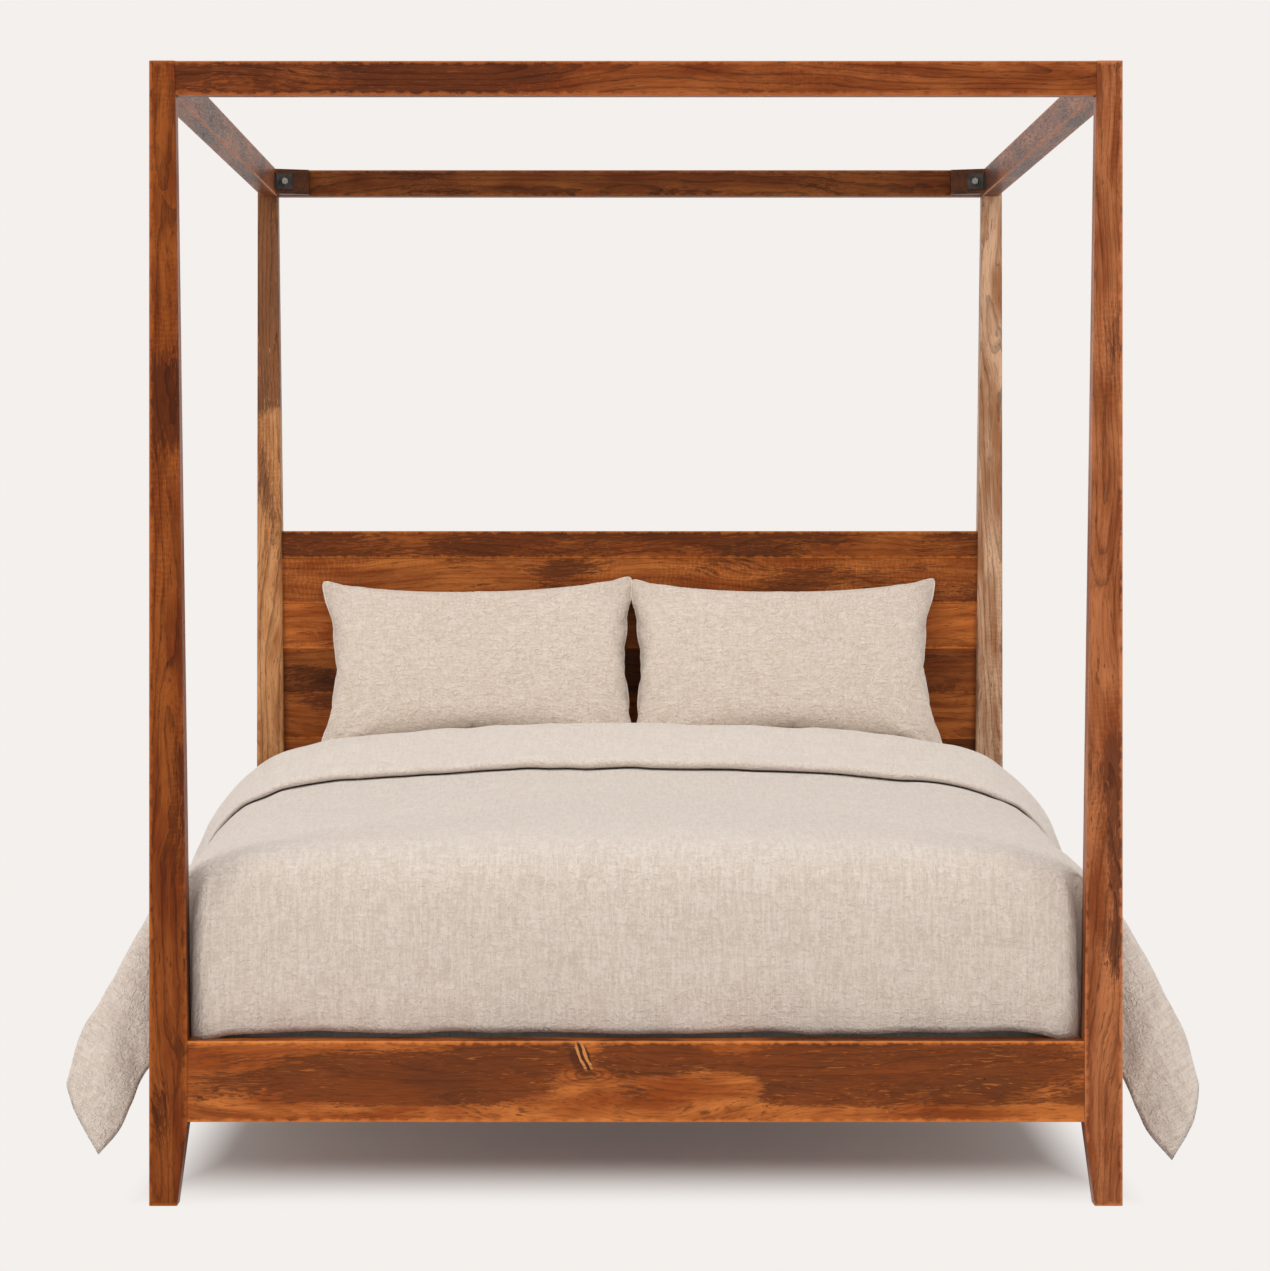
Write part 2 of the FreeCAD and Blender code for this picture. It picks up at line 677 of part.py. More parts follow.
def canopy_washer(side):
    disc = on_face(cylinder("dims.washer_radius", "dims.washer_thickness"), side, "dims.bracket_thickness")
    return subtract(disc, canopy_bolt_hole(side))


def make_corner_fixings():
    for side in (-1, 1):
        block = subtract(make_block_body(side), canopy_bolt_hole(side))
        block.Label = f"canopy_corner_block_{SIDE_NAMES[side]}"
        bracket = subtract(make_bracket_body(side), canopy_bolt_hole(side))
        bracket.Label = f"canopy_bracket_{SIDE_NAMES[side]}"
        nodes.extend((block, bracket))
    group("canopy_bracket_bolts", [canopy_bolt(side) for side in (-1, 1)])
    group("canopy_bracket_washers", [canopy_washer(side) for side in (-1, 1)])


# Headboard


def board_profile(height, tongue, groove):
    """Section of a board across its grain: bevelled front edges, a tongue on top and a groove below."""
    bevel = "dims.board_bevel"
    middle = f"({board_front} + dims.board_thickness / 2)"
    half = "dims.board_tongue_thickness / 2"
    eased = f"{board_front} + {bevel}"
    corners = [(eased, "0"), (board_front, bevel), (board_front, f"{height} - {bevel}"), (eased, height)]
    if tongue:
        rise = f"{height} + dims.board_tongue_height"
        corners += [(f"{middle} - {half}", height), (f"{middle} - {half}", rise),
                    (f"{middle} + {half}", rise), (f"{middle} + {half}", height)]
    corners += [(board_back, height), (board_back, "0")]
    if groove:
        depth = fit("dims.board_tongue_height")
        corners += [(fit(f"{middle} + {half}"), "0"), (fit(f"{middle} + {half}"), depth),
                    (fit(f"{middle} - {half}", -1), depth), (fit(f"{middle} - {half}", -1), "0")]
    return corners


def make_headboard():
    """Boards stacked from the head rail up, their ends housed in the posts, and two battens behind them."""
    for index in range(LOWER_BOARD_COUNT + 1):
        is_top = index == LOWER_BOARD_COUNT
        body = new_body(f"headboard_board_{index + 1}")
        height = "dims.top_board_height" if is_top else lower_board_height
        profile = board_profile(height, tongue=not is_top, groove=index > 0)
        section = polygon_sketch(body, "YZ_Plane", cross(-1, board_end), profile)
        grow(body, section, "YZ_Plane", f"2 * {board_end}")
        body.setExpression("Placement.Base.z", f"{rail_top} + {index} * {lower_board_height}")
    for side in (-1, 1):
        middle = cross(side, "dims.batten_spacing / 2")
        make_bar(f"headboard_batten_{SIDE_NAMES[side]}", "Z",
                 (f"{middle} - dims.batten_width / 2", board_back, rail_top),
                 (f"{middle} + dims.batten_width / 2", f"{board_back} + dims.batten_thickness",
                  "dims.headboard_top - dims.top_board_height / 2"), "dims.slat_bevel")


# Slats and what carries them


def make_slat_support():
    for side in (-1, 1):
        faces = sorted((cross(side, side_rail_inner), cross(side, f"{side_rail_inner} - dims.cleat_width")),
                       key=number)
        reach = f"({nut_pocket_end} - dims.fit_clearance)"
        make_bar(f"slat_cleat_{SIDE_NAMES[side]}", "Y",
                 (faces[0], cross(-1, reach), f"{slat_bottom} - dims.cleat_height"),
                 (faces[1], reach, slat_bottom))
    beam = make_bar("centre_beam", "Y", ("-dims.beam_width / 2", cross(-1, beam_end), beam_bottom),
                    ("dims.beam_width / 2", beam_end, slat_bottom))
    socket = circle_sketch(beam, "XY_Plane", fit(f"{beam_bottom} + dims.leg_tenon_length"),
                           [("0", "0")], fit("dims.leg_tenon_radius"))
    cut(beam, socket, "XY_Plane", -1)
    for end in (-1, 1):
        make_saddle(end)
    make_leg()


SADDLE_LIP_SHARE = 0.65


def make_saddle(end):
    """A steel U that stands on an end rail's inner face and carries the end of the beam."""
    body = new_body(f"beam_saddle_{END_NAMES[end]}")
    inside = fit("dims.beam_width / 2")
    outside = f"({inside} + dims.saddle_thickness)"
    seat, lip = beam_bottom, f"({beam_bottom} + {SADDLE_LIP_SHARE} * dims.beam_height)"
    under = f"{seat} - dims.saddle_thickness"
    right = [(outside, under), (outside, lip), (inside, lip), (inside, seat)]
    corners = right + [(cross(-1, across), up) for across, up in reversed(right)]
    start = cross(end, end_rail_inner)
    grow(body, polygon_sketch(body, "XZ_Plane", start, corners), "XZ_Plane", "dims.saddle_depth", -end)


def make_leg():
    """A square leg under the middle of the beam, with a round tenon and a felt glide."""
    body = new_body("centre_leg")
    half = "dims.leg_size / 2"
    low, high = (cross(-1, half), cross(-1, half)), (half, half)
    grow(body, rectangle_sketch(body, "XY_Plane", "dims.glide_height", low, high), "XY_Plane",
         f"{beam_bottom} - dims.glide_height")
    tenon = circle_sketch(body, "XY_Plane", beam_bottom, [("0", "0")], "dims.leg_tenon_radius")
    grow(body, tenon, "XY_Plane", "dims.leg_tenon_length")
    half = "dims.glide_size / 2"
    low, high = (cross(-1, half), cross(-1, half), "0"), (half, half, "dims.glide_height")
    make_bar("centre_leg_glide", "Z", low, high)


def make_slats():
    """Slats across the cleats and the beam, spread evenly between the end rails."""
    reach = fit(side_rail_inner, -1)
    first = f"(-{end_rail_inner} + dims.slat_margin)"
    pitch = f"((2 * ({end_rail_inner} - dims.slat_margin) - dims.slat_width) / {SLAT_COUNT - 1})"
    for index in range(SLAT_COUNT):
        slat = make_bar(f"slat_{index + 1:02d}", "X", (cross(-1, reach), "0", slat_bottom),
                        (reach, "dims.slat_width", slat_top), "dims.slat_bevel")
        slat.setExpression("Placement.Base.y", f"{first} + {index} * {pitch}")


# Mattress, foundation and bedding


def make_mattress_block(name, bottom, height, inset):
    """A block with round upright corners."""
    body = new_body(name)
    half = f"(dims.mattress_width / 2 - {inset})"
    low = (cross(-1, half), f"{mattress_foot} + {inset}")
    high = (half, f"{mattress_head} - {inset}")
    block = rounded_square_sketch(body, bottom, low, high, "dims.mattress_corner")
    grow(body, block, "XY_Plane", height)
    return body


def make_foundation_and_mattress():
    make_mattress_block("foundation", slat_top, "dims.foundation_height", "dims.foundation_inset")
    mattress = make_mattress_block("mattress", foundation_top, "dims.mattress_height", "0")
    ease_edges(mattress, "Chamfer", "dims.mattress_round", lies_level)


def outline_wire(points, closed_by_line=True):
    """A wire through points: one point in a tuple ends a line, and two are an arc's middle and end."""
    edges = []
    here = points[0][0]
    for step in points[1:]:
        if len(step) == 1:
            edges.append(Part.makeLine(here, step[0]))
        else:
            edges.append(Part.Arc(here, step[0], step[1]).toShape())
        here = step[-1]
    if closed_by_line:
        edges.append(Part.makeLine(here, points[0][0]))
    return Part.Wire(edges)


# Stations along the duvet: share of its length from the foot, then shares of the crown for the middle and
# the shoulder, and shares of the spread and the drop for the belly, the knee and the hem.
DUVET_STATION_SHARES = [
    (0.00, 0.75, 0.56, (0.21, 0.050), (0.45, 0.28), (0.70, 1.300)),
    (0.05, 0.95, 0.70, (0.22, 0.035), (0.48, 0.26), (0.93, 1.180)),
    (0.14, 1.00, 0.76, (0.22, 0.030), (0.49, 0.25), (1.00, 1.000)),
    (0.48, 1.03, 0.78, (0.23, 0.025), (0.52, 0.25), (0.99, 0.960)),
    (0.77, 1.20, 0.85, (0.25, 0.000), (0.59, 0.20), (0.95, 0.930)),
    (1.00, 1.75, 1.20, (0.25, -0.03), (0.59, 0.18), (0.95, 0.900)),
]
# Stations along the turned-down band, with the same shares, but of the crest for the middle and shoulder.
BAND_STATION_SHARES = [
    (0.00, 0.62, 0.44, (0.29, -0.14), (0.64, 0.14), (1.00, 0.880)),
    (0.40, 0.84, 0.63, (0.30, -0.19), (0.65, 0.12), (1.00, 0.870)),
    (0.80, 1.00, 0.78, (0.31, -0.23), (0.65, 0.115), (1.00, 0.860)),
    (1.00, 0.86, 0.66, (0.30, -0.20), (0.65, 0.12), (1.00, 0.860)),
]
SHOULDER_SHARE = 0.84
# The inside of the duvet cuts across the mattress's rounded edge, just clear of the round.
EDGE_CHAMFER_SHARE = 0.55


def duvet_station(y, rise, shares):
    """The duvet's outer section at one place along the bed, closed straight across at the hem."""
    _, crown, shoulder, belly, knee, hem = shares
    half = number("dims.mattress_width / 2")
    top = number(mattress_top)
    spread, drop = size("duvet_spread"), number(duvet_drop)

    def place(side, share):
        return FreeCAD.Vector(side * (half + share[0] * spread), y, top - share[1] * drop)

    def shoulder_place(side):
        return FreeCAD.Vector(side * SHOULDER_SHARE * half, y, top + shoulder * rise)

    middle = FreeCAD.Vector(0, y, top + crown * rise)
    return outline_wire([
        (place(-1, hem),), (place(-1, knee),), (place(-1, belly), shoulder_place(-1)),
        (middle, shoulder_place(1)), (place(1, belly), place(1, knee)), (place(1, hem),)])


def duvet_loft(start, length, rise, stations):
    """A loft, straight between the stations of the duvet or of its band."""
    wires = [duvet_station(start + length * row[0], rise, row) for row in stations]
    return Part.makeLoft(wires, True, True)


def duvet_hollow(start, length):
    """The space under the duvet: flat over the mattress, then out along the inside of each skirt."""
    half = number("dims.mattress_width / 2 + dims.pillow_clearance")
    top = number(mattress_top) + size("pillow_clearance")
    floor = -size("overrun")
    chamfer = EDGE_CHAMFER_SHARE * size("mattress_round")
    sections = []
    for share, _, _, _, knee, hem in DUVET_STATION_SHARES:
        y = start + length * share
        knee_x = half + knee[0] * size("duvet_spread") - size("duvet_thickness")
        knee_z = top - knee[1] * number(duvet_drop) - size("duvet_thickness") / 2
        hem_x = half + hem[0] * size("duvet_spread") - size("duvet_thickness")
        right = [FreeCAD.Vector(half - chamfer, y, top), FreeCAD.Vector(half, y, top - chamfer),
                 FreeCAD.Vector(knee_x, y, knee_z), FreeCAD.Vector(hem_x, y, floor)]
        left = [FreeCAD.Vector(-point.x, y, point.z) for point in reversed(right)]
        sections.append(Part.makePolygon(left + right + left[:1]))
    return Part.makeLoft(sections, True, True)


FOOT_PANEL_SHARES = (-1, -0.6, 0, 0.6, 1)
FOOT_PANEL_FALL_SHARE = 0.76
FOOT_SHOULDER_SHARE = 0.35
FOOT_BELLY_SHARE = 1.6


def duvet_foot_panel():
    """The end that hangs inside the foot rail: a loft across the bed, lower at the posts than between."""
    reach = number(f"{post_inner_x} - dims.fit_clearance - dims.pillow_clearance")
    inner = number(mattress_foot) - size("pillow_clearance")
    outer = inner - size("duvet_thickness")
    front = outer - size("duvet_foot_bulge")
    hem = number(f"{rail_top} + dims.duvet_hem_gap")
    top = number(mattress_top) + size("pillow_clearance")
    chamfer = EDGE_CHAMFER_SHARE * size("mattress_round")
    crown = size("duvet_crown") * DUVET_STATION_SHARES[0][1]
    sections = []
    for share in FOOT_PANEL_SHARES:
        x = share * reach
        peak = top + crown * (1 - FOOT_PANEL_FALL_SHARE * share ** 2)
        shoulder = peak - FOOT_SHOULDER_SHARE * size("duvet_foot_roll")
        belly = peak - FOOT_BELLY_SHARE * size("duvet_foot_roll")
        sections.append(outline_wire([
            (FreeCAD.Vector(x, outer, hem),), (FreeCAD.Vector(x, inner, hem),),
            (FreeCAD.Vector(x, inner, top - chamfer),), (FreeCAD.Vector(x, inner + chamfer, top),),
            (FreeCAD.Vector(x, inner + chamfer, peak - size("cloth_clearance")),),
            (FreeCAD.Vector(x, (front + outer) / 2, shoulder), FreeCAD.Vector(x, front, belly)),
            (FreeCAD.Vector(x, front, (hem + belly) / 2), FreeCAD.Vector(x, outer, hem))],
            closed_by_line=False))
    return Part.makeLoft(sections, True, True)


def make_duvet():
    """One quilted cover: a top with hanging skirts, a turned-down band and a hanging end at the foot."""
    start = number(f"-{post_inner_y} + dims.cloth_clearance")
    end = number(f"{board_front} - dims.duvet_head_gap")
    band_end = number(f"{pillow_front} - dims.duvet_band_gap")
    band_start = band_end - size("duvet_band_length")
    cover = duvet_loft(start, end - start, size("duvet_crown"), DUVET_STATION_SHARES)
    band = duvet_loft(band_start, size("duvet_band_length"), size("duvet_crest"), BAND_STATION_SHARES)
    hollow_start = start - size("overrun")
    hollow = duvet_hollow(hollow_start, end + size("overrun") - hollow_start)
    node = add_node("Part::Feature", "duvet")
    skirted = cover.fuse(band).cut(hollow)
    node.Shape = skirted.fuse(duvet_foot_panel()).removeSplitter().Solids[0]
    node.Placement = FreeCAD.Placement()
    return node.Shape


PILLOW_SAG_SHARE = 0.15
PILLOW_SIDE_SAG_SHARE = 0.06


def lens_prism(half_span, half_thick, reach):
    """A long upright prism whose section is a lens of two arcs."""
    low, high = FreeCAD.Vector(-half_span, 0, -reach), FreeCAD.Vector(half_span, 0, -reach)
    front, back = FreeCAD.Vector(0, -half_thick, -reach), FreeCAD.Vector(0, half_thick, -reach)
    lens = outline_wire([(low,), (front, high), (back, low)], closed_by_line=False)
    return Part.Face(lens).extrude(FreeCAD.Vector(0, 0, 2 * reach))


def pillow_shape():
    """A stuffed case of four mirrored quarters, each the common part of two crossed lens prisms.

    Both prisms are tilted about the quarter's corner, so the case is drawn in between its corners."""
    half_across, half_up = number(pillow_width) / 2, size("pillow_height") / 2
    half_thick = size("pillow_thickness") / 2
    reach = half_across + half_up
    middle, turn_axis = FreeCAD.Vector(), FreeCAD.Vector(0, 1, 0)
    corner = FreeCAD.Vector(half_across, 0, half_up)
    level = lens_prism(half_up, half_thick, reach)
    level.rotate(middle, turn_axis, 90)
    level.rotate(corner, turn_axis, -math.degrees(math.atan(PILLOW_SAG_SHARE * half_up / half_across)))
    upright = lens_prism(half_across, half_thick, reach)
    upright.rotate(corner, turn_axis, math.degrees(math.atan(PILLOW_SIDE_SAG_SHARE * half_across / half_up)))
    quadrant = Part.makeBox(half_across, 2 * half_thick, half_up, FreeCAD.Vector(0, -half_thick, 0))
    quarter = level.common(upright).common(quadrant)
    half = quarter.fuse(quarter.mirror(middle, FreeCAD.Vector(1, 0, 0)))
    return half.fuse(half.mirror(middle, FreeCAD.Vector(0, 0, 1))).removeSplitter().Solids[0]


def top_at(shape, x, y):
    """Height of a shape's top over a point in plan."""
    upright = Part.makeLine(FreeCAD.Vector(x, y, 0), FreeCAD.Vector(x, y, size("bed_height")))
    return shape.common(upright).BoundBox.ZMax


def make_pillows(duvet):
    """Two pillows that lean back, their lower corners on the duvet and their upper ones by the headboard."""
    turn = FreeCAD.Rotation(FreeCAD.Vector(1, 0, 0), -PILLOW_LEAN_DEGREES)
    inner_corner = size("pillow_gap") / 2
    x = inner_corner + number(pillow_width) / 2
    seat = top_at(duvet, inner_corner, number(pillow_front)) + size("pillow_clearance")
    z = seat + number(f"dims.pillow_height / 2 * cos({PILLOW_LEAN_DEGREES} deg)")
    # Each pillow starts in front of its place and slides back as far as the headboard lets it.
    y = number(f"({pillow_front} + {pillow_back}) / 2 - dims.overrun")
    pillow = pillow_shape()
    pillow.Placement = FreeCAD.Placement(FreeCAD.Vector(x, y, z), turn)
    headboard = Part.makeBox(2 * x, size("board_thickness"), size("headboard_top"),
                             FreeCAD.Vector(0, number(board_front), 0))
    y += pillow.distToShape(headboard)[0] - size("pillow_clearance")
    for side in (-1, 1):
        node = add_node("Part::Feature", f"pillow_{SIDE_NAMES[side]}")
        node.Shape = pillow_shape()
        node.Placement = FreeCAD.Placement(FreeCAD.Vector(side * x, y, z), turn)


def check_document():
    """Stops if any object failed, any shape is empty or invalid, or any pocket cut nothing."""
    for item in doc.Objects:
        if "Invalid" in item.State or "Error" in item.State:
            raise RuntimeError(f"{item.Label} failed: {item.State}")
        if item.TypeId == "PartDesign::Pocket":
            if item.Shape.Volume >= item.BaseFeature.Shape.Volume:
                raise RuntimeError(f"{item.Label} cuts nothing")
    for node in nodes:
        if node.Shape.isNull() or not node.Shape.isValid():
            raise RuntimeError(f"{node.Label} has no valid shape")


def main():
    for end in (-1, 1):
        for side in (-1, 1):
            make_post(side, end)
        make_end_rail(end)
    for side in (-1, 1):
        make_side_rail(side)
    make_rail_fasteners()
    make_canopy()
    make_corner_fixings()
    make_headboard()
    make_slat_support()
    make_slats()
    make_foundation_and_mattress()
    make_pillows(make_duvet())
    doc.recompute()
    check_document()
    os.makedirs("parts", exist_ok=True)
    for node in nodes:
        node.Shape.exportStep(f"parts/{node.Label}.step")
    print(f"{len(nodes)} pieces written")


main()
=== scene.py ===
import math

import bpy
import numpy as np
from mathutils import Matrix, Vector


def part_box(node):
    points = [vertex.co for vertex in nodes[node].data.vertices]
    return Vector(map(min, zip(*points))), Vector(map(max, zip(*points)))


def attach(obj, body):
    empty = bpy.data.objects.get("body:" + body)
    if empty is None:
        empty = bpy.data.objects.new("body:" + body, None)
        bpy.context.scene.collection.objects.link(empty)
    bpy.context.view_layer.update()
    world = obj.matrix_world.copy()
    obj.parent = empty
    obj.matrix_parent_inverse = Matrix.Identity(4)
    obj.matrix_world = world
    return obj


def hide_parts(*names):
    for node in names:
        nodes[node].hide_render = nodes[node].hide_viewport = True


# Looks of the canopy bed: oiled chestnut-coloured wood, dark steel, and washed linen bedding.
# Metres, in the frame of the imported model: the foot end faces -Y and the floor is z = 0.

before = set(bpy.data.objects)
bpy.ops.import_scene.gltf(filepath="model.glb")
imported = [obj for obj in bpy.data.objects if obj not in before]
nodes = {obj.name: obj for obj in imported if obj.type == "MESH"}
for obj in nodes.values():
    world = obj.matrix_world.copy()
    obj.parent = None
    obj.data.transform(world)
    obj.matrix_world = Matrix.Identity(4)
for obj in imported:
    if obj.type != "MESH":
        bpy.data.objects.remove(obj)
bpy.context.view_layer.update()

MM = 0.001
PHOTO_WIDTH = 1270
BACKGROUND = (0.905, 0.871, 0.845, 1)


# Grids and curves


def spline(knots, places, wanted):
    """Cubic Hermite curve through knots (first axis) that stand at rising places, read at the wanted places.

    The slope at each knot is the finite difference of its neighbours. A flat row of wanted places reads
    every column of knots there, and a grid of them has its own places for each column.
    """
    knots = np.asarray(knots, float)
    places = np.asarray(places, float)
    wanted = np.asarray(wanted, float)
    slopes = np.gradient(knots, places, axis=0)
    left = np.clip(np.searchsorted(places, wanted) - 1, 0, len(places) - 2)
    columns = () if wanted.ndim == 1 else (np.arange(wanted.shape[1]),)
    here = (left,) + columns
    after = (left + 1,) + columns
    shape = wanted.shape + (1,) * (knots.ndim - wanted.ndim)
    span = (places[left + 1] - places[left]).reshape(shape)
    t = (wanted - places[left]).reshape(shape) / span
    return ((2 * t**3 - 3 * t**2 + 1) * knots[here] + (t**3 - 2 * t**2 + t) * span * slopes[here]
            + (3 * t**2 - 2 * t**3) * knots[after] + (t**3 - t**2) * span * slopes[after])


def lengths_along(points):
    """Distance walked from the first point to each of a row of points."""
    steps = np.linalg.norm(np.diff(points, axis=0), axis=-1)
    return np.concatenate([[0], np.cumsum(steps)])


# Points along each side of the lattice of random heights, and how far from its start it is read
LATTICE = 64
LATTICE_SHIFT = 16 * LATTICE


def soft_noise(u, v, grain_u, grain_v, seed):
    """Random heights from -1 to 1 on a lattice with the given grain, eased between its points."""
    heights = np.random.default_rng(seed).uniform(-1, 1, (LATTICE, LATTICE))
    a = np.asarray(u) / grain_u + LATTICE_SHIFT
    b = np.asarray(v) / grain_v + LATTICE_SHIFT
    i = np.floor(a).astype(int)
    j = np.floor(b).astype(int)
    p = a - i
    q = b - j
    p = p * p * (3 - 2 * p)
    q = q * q * (3 - 2 * q)
    here_i = i % LATTICE
    here_j = j % LATTICE
    after_i = (i + 1) % LATTICE
    after_j = (j + 1) % LATTICE
    low = heights[here_i, here_j] * (1 - p) + heights[after_i, here_j] * p
    high = heights[here_i, after_j] * (1 - p) + heights[after_i, after_j] * p
    return low * (1 - q) + high * q


def ease(value, start, end):
    """0 before start, 1 after end, and a smooth step between them."""
    t = np.clip((np.asarray(value, float) - start) / (end - start), 0, 1)
    return t * t * (3 - 2 * t)


def grid_normals(points):
    """Unit normals of a grid of points: the cross product of its steps along the columns and the rows."""
    normals = np.cross(np.gradient(points, axis=1), np.gradient(points, axis=0))
    return normals / np.maximum(np.linalg.norm(normals, axis=-1, keepdims=True), 1e-12)


def grid_quads(index):
    """Four-sided faces between neighbours in a grid of point numbers."""
    corners = [index[:-1, :-1], index[:-1, 1:], index[1:, 1:], index[1:, :-1]]
    return np.stack(corners, -1).reshape(-1, 4)


def ring_lid(ring):
    """Four-sided faces that close a ring of an even number of points, as a strip across it."""
    half = len(ring) // 2
    return grid_quads(np.stack([ring[:half], ring[::-1][:half]]))


def add_piece(name, points, faces, uv, body="bed"):
    """A mesh object of four-sided faces at the origin, turned outwards by the sign of their volume."""
    points = np.asarray(points, float)
    faces = np.asarray(faces)
    a, b, c, d = (points[faces[:, corner]] for corner in range(4))
    volume = np.einsum("ij,ij->i", a, np.cross(b, c)).sum()
    volume += np.einsum("ij,ij->i", a, np.cross(c, d)).sum()
    if volume < 0:
        faces = faces[:, ::-1]
    mesh = bpy.data.meshes.new(name)
    mesh.vertices.add(len(points))
    mesh.vertices.foreach_set("co", points.astype(np.float32).ravel())
    mesh.loops.add(faces.size)
    mesh.loops.foreach_set("vertex_index", faces.astype(np.int32).ravel())
    mesh.polygons.add(len(faces))
    mesh.polygons.foreach_set("loop_start", np.arange(0, faces.size, faces.shape[1], dtype=np.int32))
    mesh.update(calc_edges=True)
    layer = mesh.uv_layers.new(name="cloth")
    layer.uv.foreach_set("vector", np.asarray(uv, np.float32)[faces.ravel()].ravel())
    mesh.validate()
    mesh.shade_smooth()
    piece = bpy.data.objects.new(name, mesh)
    bpy.context.scene.collection.objects.link(piece)
    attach(piece, body)
    return piece


# Shader tools


def add_node(tree, kind, inputs=None, **settings):
    """A shader node with its settings made and its sockets set or linked."""
    made = tree.nodes.new(kind)
    for name, value in settings.items():
        setattr(made, name, value)
    for name, value in (inputs or {}).items():
        if isinstance(value, bpy.types.NodeSocket):
            tree.links.new(value, made.inputs[name])
        else:
            made.inputs[name].default_value = value
    return made


def calc(tree, operation, first, second=0.0, clamp=False):
    return add_node(tree, "ShaderNodeMath", {0: first, 1: second}, operation=operation,
                    use_clamp=clamp).outputs[0]


def remap(tree, value, low, high, new_low=0.0, new_high=1.0):
    """A value moved from one range to another and held there, with a smooth step."""
    return add_node(tree, "ShaderNodeMapRange",
                    {"Value": value, "From Min": low, "From Max": high, "To Min": new_low,
                     "To Max": new_high},
                    interpolation_type="SMOOTHSTEP").outputs[0]


def mixed(tree, factor, first, second, mode="MIX"):
    return add_node(tree, "ShaderNodeMix", {0: factor, 6: first, 7: second}, data_type="RGBA",
                    blend_type=mode).outputs[2]


def weighed(tree, first, first_weight, second, second_weight):
    """The sum of two values, each times its weight."""
    return calc(tree, "ADD", calc(tree, "MULTIPLY", first, first_weight),
                calc(tree, "MULTIPLY", second, second_weight))


def vector_calc(tree, operation, first, second=(0, 0, 0)):
    """A vector worked out from two others, or the length of the first as a number."""
    made = add_node(tree, "ShaderNodeVectorMath", {0: first, 1: second}, operation=operation)
    return made.outputs[1 if operation == "LENGTH" else 0]


def stretched(tree, vector, scales):
    return vector_calc(tree, "MULTIPLY", vector, scales)


def object_place(tree):
    return add_node(tree, "ShaderNodeTexCoord").outputs["Object"]


def noise(tree, vector, scale=1.0, detail=2.0, roughness=0.5, distortion=0.0):
    return add_node(tree, "ShaderNodeTexNoise",
                    {"Vector": vector, "Scale": scale, "Detail": detail, "Roughness": roughness,
                     "Distortion": distortion}).outputs[0]


def wandering(tree, vector, reach, noise_inputs):
    """A vector moved by coloured noise, by up to half the reach each way along each axis."""
    colour = add_node(tree, "ShaderNodeTexNoise", noise_inputs).outputs["Color"]
    drift = vector_calc(tree, "SUBTRACT", colour, (0.5, 0.5, 0.5))
    return vector_calc(tree, "ADD", vector, stretched(tree, drift, reach))


def new_group(name, inputs, outputs):
    """An empty shader group with named sockets; returns its tree, its inputs and its outputs."""
    tree = bpy.data.node_groups.new(name, "ShaderNodeTree")
    for label, kind in inputs:
        tree.interface.new_socket(name=label, in_out="INPUT", socket_type=f"NodeSocket{kind}")
    for label, kind in outputs:
        tree.interface.new_socket(name=label, in_out="OUTPUT", socket_type=f"NodeSocket{kind}")
    entry = tree.nodes.new("NodeGroupInput")
    leave = tree.nodes.new("NodeGroupOutput")
    return tree, entry.outputs, leave.inputs


def new_finish(name, group, inputs, bump, bump_distance, **constants):
    """A material with colour, roughness and bump from a shader group, and constants on its sockets."""
    material = bpy.data.materials.new(name)
    material.use_nodes = True
    tree = material.node_tree
    shader = tree.nodes["Principled BSDF"]
    made = add_node(tree, "ShaderNodeGroup", inputs(tree), node_tree=group)
    relief = add_node(tree, "ShaderNodeBump", {"Strength": bump, "Distance": bump_distance,
                                               "Height": made.outputs["Height"]})
    tree.links.new(made.outputs["Color"], shader.inputs["Base Color"])
    tree.links.new(made.outputs["Roughness"], shader.inputs["Roughness"])
    tree.links.new(relief.outputs[0], shader.inputs["Normal"])
    for label, value in constants.items():
        shader.inputs[label.replace("_", " ")].default_value = value
    return material


def finish_parts(material):
    """A finish's node tree, its shader, and the socket that feeds the shader's colour."""
    tree = material.node_tree
    shader = tree.nodes["Principled BSDF"]
    return tree, shader, shader.inputs["Base Color"].links[0].from_socket


# Wood


